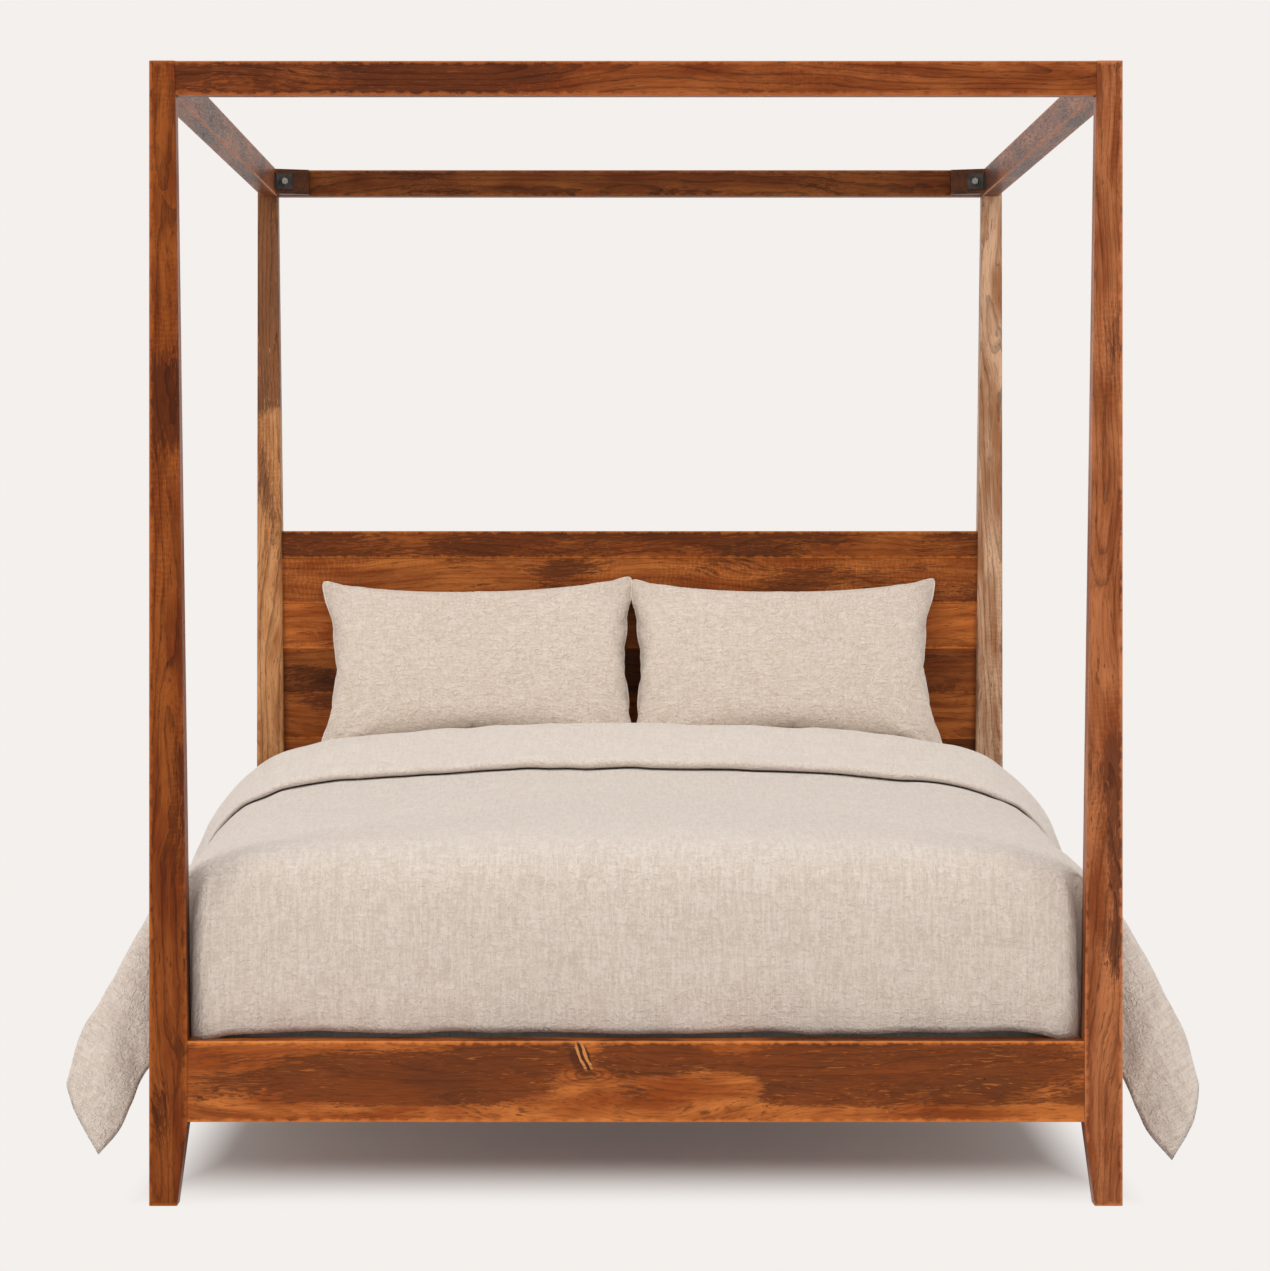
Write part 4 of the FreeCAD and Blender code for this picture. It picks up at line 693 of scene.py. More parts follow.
# How the head end rolls down to the mattress: place along the bed and drop of the top, in mm
HEAD_ROLL = [(893, 16), (906, 48), (902, 88)]
# How much of that roll each column takes, and the furthest place along the bed of the rest, in mm
HEAD_ROLL_SHARES = [1, 1, 0.92, 0.84, 0.78, 0.72, 0.66, 0.4, 0.15, 0, 0, 0, 0]
HEAD_SIDE_Y = 905
# The foot panel in the middle, from the top's edge down to the hem: (y, z) in mm
FOOT_ROWS = [(-990, 629), (-1021, 613), (-1045, 586), (-1058, 550), (-1064, 505), (-1064, 445), (-1060, 385),
             (-1054, 335), (-1049, 301)]
FOOT_TOP_Y, FOOT_TOP_Z = FOOT_ROWS[0]
# The row of the top at the foot end, which runs on into the folds that hang outside the posts
FOOT_SECTION = [(0, 629), (340, 627), (600, 622), (690, 616), (735, 607), (762, 600), (782, 592)]
# Each column of the panel: its share of the panel's reach, its place at the hem in mm, and how many times
# faster than the fall it gets there
PANEL_REACH_SHARES = [1, 1, 1, 1, 1, 0.93, 0.30]
PANEL_X = [0, 340, 600, 700, 755, 786, 791]
PANEL_SPREAD = 2.2
# The places across the cloth between which the panel's end is drawn, and those up from the hem between
# which this fades in, in metres; its way round the post in plan: how far each turn stands from the bed's
# middle, how far the first ones stand back from the panel, and the places along the bed of the rest, in mm
PANEL_END = (0.70, 0.87)
PANEL_PRESS = (0.335, 0.21)
PANEL_END_X = [778, 788.5, 791.5, 792, 797]
PANEL_END_BACK = [0, 8, 24]
POST_BACK_Y = [-1016, -1003]
# The hanging corners on the left and the right: the fold at their top and their front and side hems as
# (x, z), the hems' places along the bed, and how far the panel's hem rises, or dips below 0, at each
# column, all in mm
WING_FOLDS = {-1: [(835, 548), (882, 489), (925, 417), (968, 345), (1006, 270), (1026, 201)],
              1: [(833, 548), (879, 489), (921, 417), (961, 345), (995, 270), (1015, 201)]}
WING_FRONT_HEMS = {-1: [(793, 301), (838, 268), (870, 236), (890, 206), (906, 165), (932, 117), (963, 79)],
                   1: [(793, 297), (836, 262), (866, 228), (886, 190), (902, 150), (926, 108), (962, 66)]}
WING_SIDE_HEMS = {-1: [(1026, 201), (1013, 165), (993, 129), (963, 79)],
                  1: [(1015, 201), (1009, 165), (998, 129), (962, 66)]}
WING_HEM_Y = [-1010, -1006, -1004, -1005, -1008, -1012, -1016]
WING_SIDE_HEM_Y = [-990, -1003, -1012, -1016]
HEM_DIPS = {-1: [0, 0, 1, -3, -9, -14, -16], 1: [0, -2, 0, 1, -7, -16, -19]}


def half_net(side):
    """Control points of one half of the duvet's skin: rows from the foot hem to the head end, columns from
    the middle to the side hem.

    Over the mattress each row is a half section. Below the foot edge the inner columns follow the foot
    panel, whose end curls back behind the post, and the outer ones are a blended patch between the four
    edges of the fold that hangs outside the post.
    """
    rows = []
    fold = np.array(FOOT_SECTION + WING_FOLDS[side], float)
    first = np.stack([fold[:, 0], np.full(len(fold), float(FOOT_TOP_Y)), fold[:, 1]], -1)
    inner = len(FOOT_SECTION)
    count = len(FOOT_ROWS)
    falls = np.linspace(0, 1, count)
    panel = np.zeros((count, inner, 3))
    spread = np.clip(falls * PANEL_SPREAD, 0, 1)[:, None]
    foot = np.array(FOOT_ROWS, float)
    panel[:, :, 0] = first[:inner, 0] + (np.array(PANEL_X) - first[:inner, 0]) * spread
    panel[:, :, 1] = FOOT_TOP_Y + (foot[:, :1] - FOOT_TOP_Y) * np.array(PANEL_REACH_SHARES)
    panel[:, :, 2] = foot[:, 1:] + (first[:inner, 2] - FOOT_TOP_Z) * (1 - falls[:, None])
    panel[:, :, 2] += np.array(HEM_DIPS[side]) * falls[:, None] ** 3
    # The hanging fold, as a Coons patch: a runs outwards from the panel's end, b runs down from the top
    top_edge = first[inner - 1:]
    a = lengths_along(top_edge)
    a = (a / a[-1])[None, :, None]
    b = falls[:, None, None]
    hem = np.array(WING_FRONT_HEMS[side], float)
    hem = np.stack([hem[:, 0], np.array(WING_HEM_Y, float), hem[:, 1]], -1)
    hem = spline(hem, np.linspace(0, 1, len(hem)), a[0, :, 0])
    outer = np.array(WING_SIDE_HEMS[side], float)
    outer = np.stack([outer[:, 0], np.array(WING_SIDE_HEM_Y, float), outer[:, 1]], -1)
    outer = spline(outer, np.linspace(0, 1, len(outer)), falls)
    end = panel[:, -1]
    hem[0] = end[-1]
    corners = ((1 - a) * (1 - b) * top_edge[0] + a * (1 - b) * top_edge[-1] + (1 - a) * b * end[-1]
               + a * b * outer[-1])
    patch = (1 - b) * top_edge[None] + b * hem[None] + (1 - a) * end[:, None] + a * outer[:, None] - corners
    hanging = np.concatenate([panel, patch[:, 1:]], 1)
    rows.extend(hanging[::-1])
    for y, section in COVER_SECTIONS:
        section = np.array(section, float)
        rows.append(np.stack([section[:, 0], np.full(len(section), float(y)), section[:, 1]], -1))
    last = rows[-1]
    for y, drop in HEAD_ROLL:
        row = last.copy()
        share = np.array(HEAD_ROLL_SHARES)
        row[:, 1] = np.minimum(y, HEAD_SIDE_Y) * (1 - share) + y * share
        row[:, 2] -= drop * share
        rows.append(row)
    net = np.array(rows) * MM
    net[:, :, 0] *= side
    return net


# Which half section measures the way across the cloth
MIDDLE_SECTION = 3


def duvet_net():
    """Both halves joined at the middle column, with the lengths along its rows and columns."""
    left = half_net(-1)
    right = half_net(1)
    net = np.concatenate([left[:, :0:-1], right], 1)
    middle = net.shape[1] // 2
    along = lengths_along(net[:, middle])
    across = lengths_along(net[len(FOOT_ROWS) + MIDDLE_SECTION])
    return net, along, across - across[middle]


def duvet_skin(net, along, across, v, u):
    """Points of the smooth skin at places v along the bed's length of cloth and u across it."""
    columns = spline(net.swapaxes(0, 1), across, u).swapaxes(0, 1)
    return spline(columns, along, v)


# Where the cloth passes over the foot edge of the mattress, up from its hem, in metres
FOOT_EDGE = 0.366
# Between which places across the cloth the hanging corners leave the foot panel's end, in metres
WING_EDGE = (0.825, 0.857)
# Where the hanging corners begin across the cloth, and how far up from the hem they do, in metres
WING_START = 0.80
WING_TOP = 0.37
# Where the side skirts begin across the cloth, over which lengths their folds set in, and over which heights
# the foot panel does, in metres
SKIRT_START = 0.90
SKIRT_FOLDS = (0.42, 0.75)
PANEL_RISE = (0.36, 0.12)
# Soft noise all over the cover: its height, its grain across and along the cloth in metres, and its seed
COVER_RUMPLES = [(0.0022, 0.11, 0.13, 3), (0.0019, 0.045, 0.05, 4), (0.0035, 0.38, 0.33, 5)]
# Heights in metres of the skirts' folds and the panel's waves, each with its noise's two grains and seed
FOLD_HEIGHT = 0.022
FOLD_NOISE = (0.14, 0.9, 6)
WAVE_HEIGHT = 0.0042
WAVE_NOISE = (0.085, 0.45, 7)
# The hanging corners: the share of their height below which they hang loose, the heights in metres of their
# swell, tuck and pleats, the tuck's place and width as shares of the way out, and the pleats' number and
# offset
WING_LOOSE_SHARE = 0.55
SWELL_HEIGHT = 0.010
TUCK_DEPTH = 0.007
PLEAT_HEIGHT = 0.0016
TUCK_AT = 0.10
TUCK_WIDTH = 0.06
PLEATS = 2.1
PLEAT_OFFSET = 0.15
# Soft creases of the foot panel: place across and up from the hem, width, height and depth, in metres
PANEL_CREASES = [(-0.735, 0.27, 0.020, 0.060, -0.007), (-0.700, 0.25, 0.030, 0.050, 0.004),
                 (0.560, 0.09, 0.012, 0.050, -0.003), (0.730, 0.22, 0.022, 0.080, -0.005)]


def layered_noise(uu, vv, layers):
    """The sum of soft noises, each given as a height, two grains and a seed."""
    return sum(height * soft_noise(uu, vv, *grains) for height, *grains in layers)


def cover_relief(uu, vv, half):
    """Height of the cover over its smooth skin: rumples all over, upright folds in the side skirts and waves
    in the foot panel, which are soft noise of their own grains, a few bell-shaped creases, and hanging
    corners that swell between their edges, tuck in beside the posts and fall in pleats."""
    skirt = ease(np.abs(uu), SKIRT_START, half)
    panel = ease(vv, *PANEL_RISE)
    folds = FOLD_HEIGHT * skirt * ease(vv, *SKIRT_FOLDS) * soft_noise(vv, uu, *FOLD_NOISE)
    waves = WAVE_HEIGHT * panel * (1 - skirt) * soft_noise(uu, vv, *WAVE_NOISE)
    creases = sum(depth * np.exp(-((uu - at_u) / wide) ** 2 - ((vv - at_v) / tall) ** 2)
                  for at_u, at_v, wide, tall, depth in PANEL_CREASES)
    out = np.clip((np.abs(uu) - WING_START) / (half - WING_START), 0, 1)
    hang = ease(vv, WING_TOP, WING_TOP * WING_LOOSE_SHARE)
    swell = SWELL_HEIGHT * np.sin(math.pi * out) * np.sin(math.pi * np.clip(vv / WING_TOP, 0, 1))
    tuck = -TUCK_DEPTH * hang * np.exp(-((out - TUCK_AT) / TUCK_WIDTH) ** 2)
    turns = PLEATS * out + PLEAT_OFFSET * np.sign(uu)
    pleats = PLEAT_HEIGHT * hang * np.sin(math.pi * out) * np.sin(2 * math.pi * turns)
    return layered_noise(uu, vv, COVER_RUMPLES) + folds + waves + creases + swell + tuck + pleats


def shell(outer, thickness, uv):
    """A closed pad: a grid and its copy moved inwards along the normals, which share their outer edge."""
    rows, columns = outer.shape[:2]
    index = np.arange(rows * columns).reshape(rows, columns)
    inner = (outer - grid_normals(outer) * thickness[..., None])[1:-1, 1:-1].reshape(-1, 3)
    inside = index.copy()
    inside[1:-1, 1:-1] = rows * columns + np.arange(len(inner)).reshape(rows - 2, columns - 2)
    points = np.concatenate([outer.reshape(-1, 3), inner])
    flat = np.concatenate([uv.reshape(-1, 2), uv[1:-1, 1:-1].reshape(-1, 2)])
    faces = np.concatenate([grid_quads(index), grid_quads(inside)[:, ::-1]])
    return points, faces, flat


def press_panel_ends(skin, u, v):
    """Lays the two ends of the foot panel into the frame: flat to the post, round its corner and past it.

    Each row's end is redrawn through turns beside the post, in full near the hem and less towards the top.
    """
    share = ease(v, *PANEL_PRESS)[:, None, None]
    for side in (-1, 1):
        columns = np.flatnonzero((side * u >= PANEL_END[0]) & (side * u <= PANEL_END[1]))[::side]
        begin = skin[:, columns[0]]
        finish = skin[:, columns[-1]]
        flat = np.zeros(len(v))
        turns = [begin * (side, 1, 1)]
        for index, reach in enumerate(PANEL_END_X):
            if index < len(PANEL_END_BACK):
                back = begin[:, 1] + PANEL_END_BACK[index] * MM
            else:
                back = flat + POST_BACK_Y[index - len(PANEL_END_BACK)] * MM
            turns.append(np.stack([flat + reach * MM, back, flat], -1))
        turns.append(finish * (side, 1, 1))
        turns = np.array(turns)
        near_hem = len(v) // 12
        places = lengths_along(turns[:, near_hem, :2])
        across = (side * u[columns] - PANEL_END[0]) / (PANEL_END[1] - PANEL_END[0])
        drawn = spline(turns, places / places[-1], np.clip(across, 0, 1)).swapaxes(0, 1)
        drawn[..., 0] *= side
        drawn[..., 2] = begin[:, 2:] + (finish - begin)[:, 2:] * across
        skin[:, columns] += (drawn - skin[:, columns]) * share


def cloth_map(skin, u, v):
    """Flat places of a grid of cloth: lengths walked along the rows from the middle column, and along the
    columns from the row at the foot edge of the mattress. The hanging corners are laid out flat from their
    fold: the way along the fold, and the distance from it."""
    middle = np.argmin(np.abs(u))
    edge = np.argmin(np.abs(v - FOOT_EDGE))
    over = np.pad(np.cumsum(np.linalg.norm(np.diff(skin, axis=1), axis=-1), axis=1), ((0, 0), (1, 0)))
    down = np.pad(np.cumsum(np.linalg.norm(np.diff(skin, axis=0), axis=-1), axis=0), ((1, 0), (0, 0)))
    over += u[middle] - over[:, middle:middle + 1]
    down += v[edge] - down[edge]
    for side in (-1, 1):
        fold = np.array(WING_FOLDS[side], float) * MM
        way = (fold[-1] - fold[0]) / np.linalg.norm(fold[-1] - fold[0])
        off = np.stack([side * skin[..., 0], skin[..., 2]], -1) - fold[0]
        first = np.argmin(np.abs(u - side * WING_EDGE[1]))
        hanging = ease(side * u, *WING_EDGE)[None, :] * (v < v[edge])[:, None]
        over += hanging * (over[edge, first] + side * (off @ way) - over)
        down += hanging * (v[edge] - off @ (way[1], -way[0]) - down)
    return np.stack([over, down], -1)


# The cover's grid: its rows, its even columns, the closer columns from and to these places at the panel's
# ends, and the least gap between the two kinds, in metres
COVER_ROWS = 176
COVER_COLUMNS = 184
PANEL_END_COLUMNS = (0.715, 0.855, 36)
COLUMN_GAP = 0.004
# Ripple of the foot hem: its height and how far up it reaches, in metres, and its noise's grains and seed
HEM_RIPPLE = 0.0035
HEM_RIPPLE_REACH = 0.09
HEM_NOISE = (0.08, 1, 8)
# The duvet's thickness in metres: the height that it reaches down to over the mattress, its least and most
# there, in the skirts and in the foot panel; where the skirts and the panel begin, and how far in from a hem
# it is full
PAD_BOTTOM = 0.577
PAD_THICKNESS = (0.024, 0.055)
SKIRT_THICKNESS = 0.020
PANEL_THICKNESS = 0.026
SKIRT_BLEND = (0.72, 0.98)
PANEL_LENGTH = 0.40
HEM_ROUND = 0.03


def duvet_cover(net, along, across):
    """The cover's outer skin with soft rumples and hanging folds, its thickness, and the map of its cloth.

    The thickness fills the room over the mattress, is less in the skirts and the foot panel, and closes at
    the hems as a square root.
    """
    v = np.linspace(0, along[-1], COVER_ROWS)
    ends = np.linspace(*PANEL_END_COLUMNS)
    even = np.linspace(across[0], across[-1], COVER_COLUMNS)
    even = even[(np.abs(even) < ends[0] - COLUMN_GAP) | (np.abs(even) > ends[-1] + COLUMN_GAP)]
    u = np.sort(np.concatenate([even, ends, -ends]))
    skin = duvet_skin(net, along, across, v, u)
    press_panel_ends(skin, u, v)
    cloth = cloth_map(skin, u, v)
    normals = grid_normals(skin)
    uu, vv = np.meshgrid(u, v)
    half = across[-1]
    skin = skin + normals * cover_relief(uu, vv, half)[..., None]
    skin[..., 2] += HEM_RIPPLE * ease(vv, HEM_RIPPLE_REACH, 0.0) * soft_noise(uu, vv * 0, *HEM_NOISE)
    edge = np.minimum.reduce([vv, along[-1] - vv, half - np.abs(uu)])
    skirt = ease(np.abs(uu), *SKIRT_BLEND)
    bulk = np.clip(skin[..., 2] - PAD_BOTTOM, *PAD_THICKNESS) * (1 - skirt) + SKIRT_THICKNESS * skirt
    bulk = np.where(vv < PANEL_LENGTH, np.minimum(bulk, PANEL_THICKNESS), bulk)
    thickness = bulk * np.sqrt(np.clip(edge / HEM_ROUND, 0, 1))
    return skin, thickness, cloth - (0, along[-1] / 2)


# The turned-down band in section: place along the bed in mm, and its height above the cover in mm
BAND_TOP = [(476, 4), (467, 6), (463, 11), (465, 17), (480, 24), (510, 32), (555, 44), (610, 57), (670, 70),
            (722, 79), (762, 77), (792, 66), (812, 47), (818, 26), (812, 1)]
BAND_UNDER = [(812, 1), (700, 0.5), (560, 0.5), (500, 1), (476, 4)]
# How far the band's edge sweeps towards the head, in metres, and over which places across and along it does
BAND_SWEEP = 0.07
BAND_SWEEP_ACROSS = (0.70, 1.0)
BAND_SWEEP_ALONG = (0.72, 0.46)
# Share of the band's height at places across the cloth, in metres
BAND_SHARES_AT = [0, 0.34, 0.6, 0.7, 0.79, 0.86, 0.95, 1.05, 1.2, 1.32]
BAND_SHARES = [1, 0.98, 0.95, 0.93, 0.87, 0.67, 0.50, 0.40, 0.33, 0.27]
# The band's grid, its least height over the cover, the way in from its hems over which it closes, the height
# at which its noise is full, and where its cloth starts on the flat map, in metres
BAND_TOP_POINTS = 56
BAND_UNDER_POINTS = 16
BAND_COLUMNS = 214
BAND_LEAST = 0.0012
BAND_END_ROUND = 0.02
BAND_FULL = 0.03
BAND_CLOTH_START = 2.6
# Soft noise all over the band, as on the cover, and the waves along its edge: their height in metres, the
# places along the bed over which they set in, and their grains and seed
BAND_RUMPLES = [(0.003, 0.16, 0.2, 11), (0.0024, 0.06, 0.06, 12)]
BAND_WAVE = 0.004
BAND_WAVE_ALONG = (0.53, 0.47)
BAND_WAVE_NOISE = (0.24, 1, 13)
# Step in metres over which the skin's slopes are taken
SLOPE_STEP = 0.004


def resampled(path, count):
    """A path read at evenly spaced distances along it."""
    length = lengths_along(path)
    return spline(path, length, np.linspace(0, length[-1], count))


def duvet_band(net, along, across, start):
    """The head end of the duvet folded back on itself: a closed loop over the cover, carried across the bed.

    Each point is the cover's point moved along its normal by the loop's height there, which shrinks down the
    sides and closes at the two hems.
    """
    middle = net.shape[1] // 2
    first = len(FOOT_ROWS) - 1
    last = -len(HEAD_ROLL)
    place = net[first:last, middle, 1]
    over = resampled(np.array(BAND_TOP, float) * MM, BAND_TOP_POINTS)
    under = resampled(np.array(BAND_UNDER, float) * MM, BAND_UNDER_POINTS)[1:-1]
    loop = np.concatenate([over, under])
    u = np.linspace(across[0], across[-1], BAND_COLUMNS)
    sweep = (BAND_SWEEP * ease(np.abs(u), *BAND_SWEEP_ACROSS)[None]
             * ease(loop[:, 0], *BAND_SWEEP_ALONG)[:, None])
    v = np.interp(loop[:, :1] + sweep, place, along[first:last])
    skin = duvet_skin(net, along, across, v, u)
    ahead = (duvet_skin(net, along, across, v + SLOPE_STEP, u)
             - duvet_skin(net, along, across, v - SLOPE_STEP, u))
    aside = (duvet_skin(net, along, across, v, np.clip(u + SLOPE_STEP, u[0], u[-1]))
             - duvet_skin(net, along, across, v, np.clip(u - SLOPE_STEP, u[0], u[-1])))
    normals = np.cross(aside, ahead)
    normals /= np.linalg.norm(normals, axis=-1, keepdims=True)
    share = spline(np.array(BAND_SHARES), np.array(BAND_SHARES_AT), np.abs(u))
    close = np.sqrt(np.clip((across[-1] - np.abs(u)) / BAND_END_ROUND, 0, 1))
    height = BAND_LEAST + (loop[:, 1:] - BAND_LEAST) * (share * close)[None, :]
    skin = skin + normals * cover_relief(np.broadcast_to(u, v.shape), v, across[-1])[..., None]
    uu, vv = np.meshgrid(u, lengths_along(loop) + BAND_CLOTH_START)
    waves = (BAND_WAVE * ease(loop[:, 0], *BAND_WAVE_ALONG)[:, None]
             * soft_noise(uu, vv * 0, *BAND_WAVE_NOISE))
    lift = layered_noise(uu, vv, BAND_RUMPLES) + waves
    points = skin + normals * (height + lift * np.clip(height / BAND_FULL, 0, 1))[..., None]
    rows, columns = points.shape[:2]
    index = np.arange(rows * columns).reshape(rows, columns)
    around = np.concatenate([index, index[:1]])
    faces = np.concatenate([grid_quads(around), ring_lid(index[:, 0])[:, ::-1], ring_lid(index[:, -1])])
    flat = np.stack([uu, vv], -1).reshape(-1, 2)
    return points.reshape(-1, 3), faces + start, flat


def make_duvet(finish, net, along, across):
    """The cover and its turned-down band, as one padded piece."""
    skin, thickness, uv = duvet_cover(net, along, across)
    points, faces, flat = shell(skin, thickness, uv)
    band_points, band_faces, band_flat = duvet_band(net, along, across, len(points))
    duvet = add_piece("duvet_linen", np.concatenate([points, band_points]),
                      np.concatenate([faces, band_faces]), np.concatenate([flat, band_flat]))
    duvet.data.materials.append(finish)
    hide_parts("duvet")


# Pillows


# A pillow's flat cloth in metres and its grid, how far each face starts from its middle, the rounding of its
# corners, and the air pressure and the number of steps that fill it
PILLOW_FLAT = (0.80, 0.54)
PILLOW_GRID = (112, 76)
PILLOW_START = 0.030
PILLOW_CORNER = 0.012
PILLOW_CORNER_POWER = 12
PILLOW_PRESSURE = 5.0
PILLOW_STEPS = 12
# The filled pillow: its lean, its middle, its height and depth, and the room left inside its solid's width
PILLOW_LEAN = math.radians(31)
PILLOW_MIDDLE_Y = 0.9236
PILLOW_MIDDLE_Z = 0.8825
PILLOW_HEIGHT = 0.468
PILLOW_DEPTH = 0.165
PILLOW_ROOM = 0.009
# How far the outer side, the inner side, and the top and bottom pull in between the corners, as a share of
# the half size
PILLOW_WAIST = (0.034, -0.014, 0.125)
# How far past its solid's box the inner side of each pillow lies against the other pillow, in metres
PILLOW_REACH = {-1: 0.013, 1: 0.001}
# How far each pillow is turned sideways, in radians
PILLOW_TILTS = {-1: 0.018, 1: 0.004}
# The cord in a pillow's seam: its radius in metres, its sides, and how often its path is smoothed
WELT_RADIUS = 0.0026
WELT_SIDES = 8
WELT_SMOOTHINGS = 3


def flat_pillow():
    """Two flat rectangles of cloth with softly rounded corners that share their edges, a little apart in the
    middle; also returns the numbers of the points round the shared edge."""
    columns, rows = PILLOW_GRID
    x, y = np.meshgrid(np.linspace(-0.5, 0.5, columns), np.linspace(-0.5, 0.5, rows))
    rise = PILLOW_START * (np.cos(x * math.pi) * np.cos(y * math.pi)) ** 0.5
    corner = 1 - PILLOW_CORNER * (4 * x * y) ** PILLOW_CORNER_POWER
    front = np.stack([x * corner * PILLOW_FLAT[0], y * corner * PILLOW_FLAT[1], rise], -1)
    back = front * (1, 1, -1)
    index = np.arange(rows * columns).reshape(rows, columns)
    behind = index.copy()
    within = np.arange((rows - 2) * (columns - 2)).reshape(rows - 2, columns - 2)
    behind[1:-1, 1:-1] = rows * columns + within
    points = np.concatenate([front.reshape(-1, 3), back[1:-1, 1:-1].reshape(-1, 3)])
    flat = np.stack([x * PILLOW_FLAT[0], y * PILLOW_FLAT[1]], -1)
    flat = np.concatenate([flat.reshape(-1, 2), flat[1:-1, 1:-1].reshape(-1, 2)])
    edge = np.concatenate([index[0, :-1], index[:-1, -1], index[-1, :0:-1], index[:0:-1, 0]])
    return points, np.concatenate([grid_quads(index), grid_quads(behind)[:, ::-1]]), flat, edge


def inflated(points, faces, pressure, frames):
    """The same cloth after a short simulation with air pressure inside and no weight."""
    mesh = bpy.data.meshes.new("pillow trial")
    mesh.from_pydata(points.tolist(), [], faces.tolist())
    trial = bpy.data.objects.new("pillow trial", mesh)
    bpy.context.scene.collection.objects.link(trial)
    cloth = trial.modifiers.new("cloth", "CLOTH")
    settings = cloth.settings
    settings.quality = 6
    settings.mass = 0.25
    settings.tension_stiffness = 25
    settings.compression_stiffness = 25
    settings.shear_stiffness = 8
    settings.bending_stiffness = 0.3
    settings.use_pressure = True
    settings.uniform_pressure_force = pressure
    settings.effector_weights.gravity = 0
    cloth.point_cache.frame_start = 1
    cloth.point_cache.frame_end = frames
    scene = bpy.context.scene
    for number in range(1, frames + 1):
        scene.frame_set(number)
    result = trial.evaluated_get(bpy.context.evaluated_depsgraph_get())
    moved = np.zeros(len(points) * 3, np.float32)
    result.data.vertices.foreach_get("co", moved)
    bpy.data.objects.remove(trial)
    bpy.data.meshes.remove(mesh)
    scene.frame_set(1)
    return moved.reshape(-1, 3).astype(float)


def welt(path, start):
    """Cord in a seam: a small circle carried round a closed path, turned by the path's outward direction."""
    for _ in range(WELT_SMOOTHINGS):
        path = (np.roll(path, 1, 0) + 2 * path + np.roll(path, -1, 0)) / 4
    forward = np.roll(path, -1, 0) - np.roll(path, 1, 0)
    forward /= np.linalg.norm(forward, axis=-1, keepdims=True)
    outward = path - (path * forward).sum(-1, keepdims=True) * forward
    outward /= np.linalg.norm(outward, axis=-1, keepdims=True)
    angle = np.linspace(0, 2 * math.pi, WELT_SIDES + 1)[:-1, None]
    ring = np.cos(angle) * outward[:, None] + np.sin(angle) * np.cross(forward, outward)[:, None]
    points = path[:, None] + WELT_RADIUS * ring
    index = np.arange(points.shape[0] * points.shape[1]).reshape(points.shape[:2])
    index = np.pad(index, ((0, 1), (0, 1)), mode="wrap")
    return points.reshape(-1, 3), grid_quads(index) + start


def make_pillows(finish):
    """Two pillows, blown up from flat cloth, drawn in between their corners, then leaned in their places."""
    shape, faces, flat, edge = flat_pillow()
    shape = inflated(shape, faces, PILLOW_PRESSURE, PILLOW_STEPS)
    size = shape.max(0) - shape.min(0)
    shape = (shape - (shape.max(0) + shape.min(0)) / 2) / size
    across = 2 * shape[:, 0]
    upward = 2 * shape[:, 1]
    shape[:, 0] *= 1 - np.where(across > 0, PILLOW_WAIST[0], PILLOW_WAIST[1]) * (1 - upward ** 2)
    shape[:, 1] *= 1 - PILLOW_WAIST[2] * (1 - across ** 2)
    up = np.array([0, math.sin(PILLOW_LEAN), math.cos(PILLOW_LEAN)])
    out = np.array([0, -math.cos(PILLOW_LEAN), math.sin(PILLOW_LEAN)])
    for side, name in ((-1, "pillow_left"), (1, "pillow_right")):
        low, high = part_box(name)
        width = high.x - low.x - PILLOW_ROOM + PILLOW_REACH[side]
        local = shape * (width, PILLOW_HEIGHT, PILLOW_DEPTH)
        seam_points, seam_faces = welt(local[edge], len(local))
        local = np.concatenate([local, seam_points]) * (side, 1, 1)
        turn = PILLOW_TILTS[side]
        x = local[:, :1] * math.cos(turn) - local[:, 1:2] * math.sin(turn)
        y = local[:, :1] * math.sin(turn) + local[:, 1:2] * math.cos(turn)
        middle_x = (low.x + high.x - side * PILLOW_REACH[side]) / 2
        centre = np.array([middle_x, PILLOW_MIDDLE_Y, PILLOW_MIDDLE_Z])
        placed = centre + x * (1, 0, 0) + y * up + local[:, 2:] * out
        pillow = add_piece(name + "_linen", placed, np.concatenate([faces, seam_faces]),
                           np.concatenate([flat, np.repeat(flat[edge], WELT_SIDES, 0)]), name)
        pillow.data.materials.append(finish)
        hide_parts(name)


# Mattress and foundation


# The stuffed blocks: points in a corner's arc and round the whole path, rows across a face and how far out
# the last one is, the share of the way in over which the quilting sets in, and its waves in radians a metre
PAD_CORNER_POINTS = 9
PAD_PATH_POINTS = 240
PAD_FACE_ROWS = 60
PAD_FACE_SHARE = 0.97
PAD_EDGE_SHARE = 0.08
QUILT_WAVES = 16


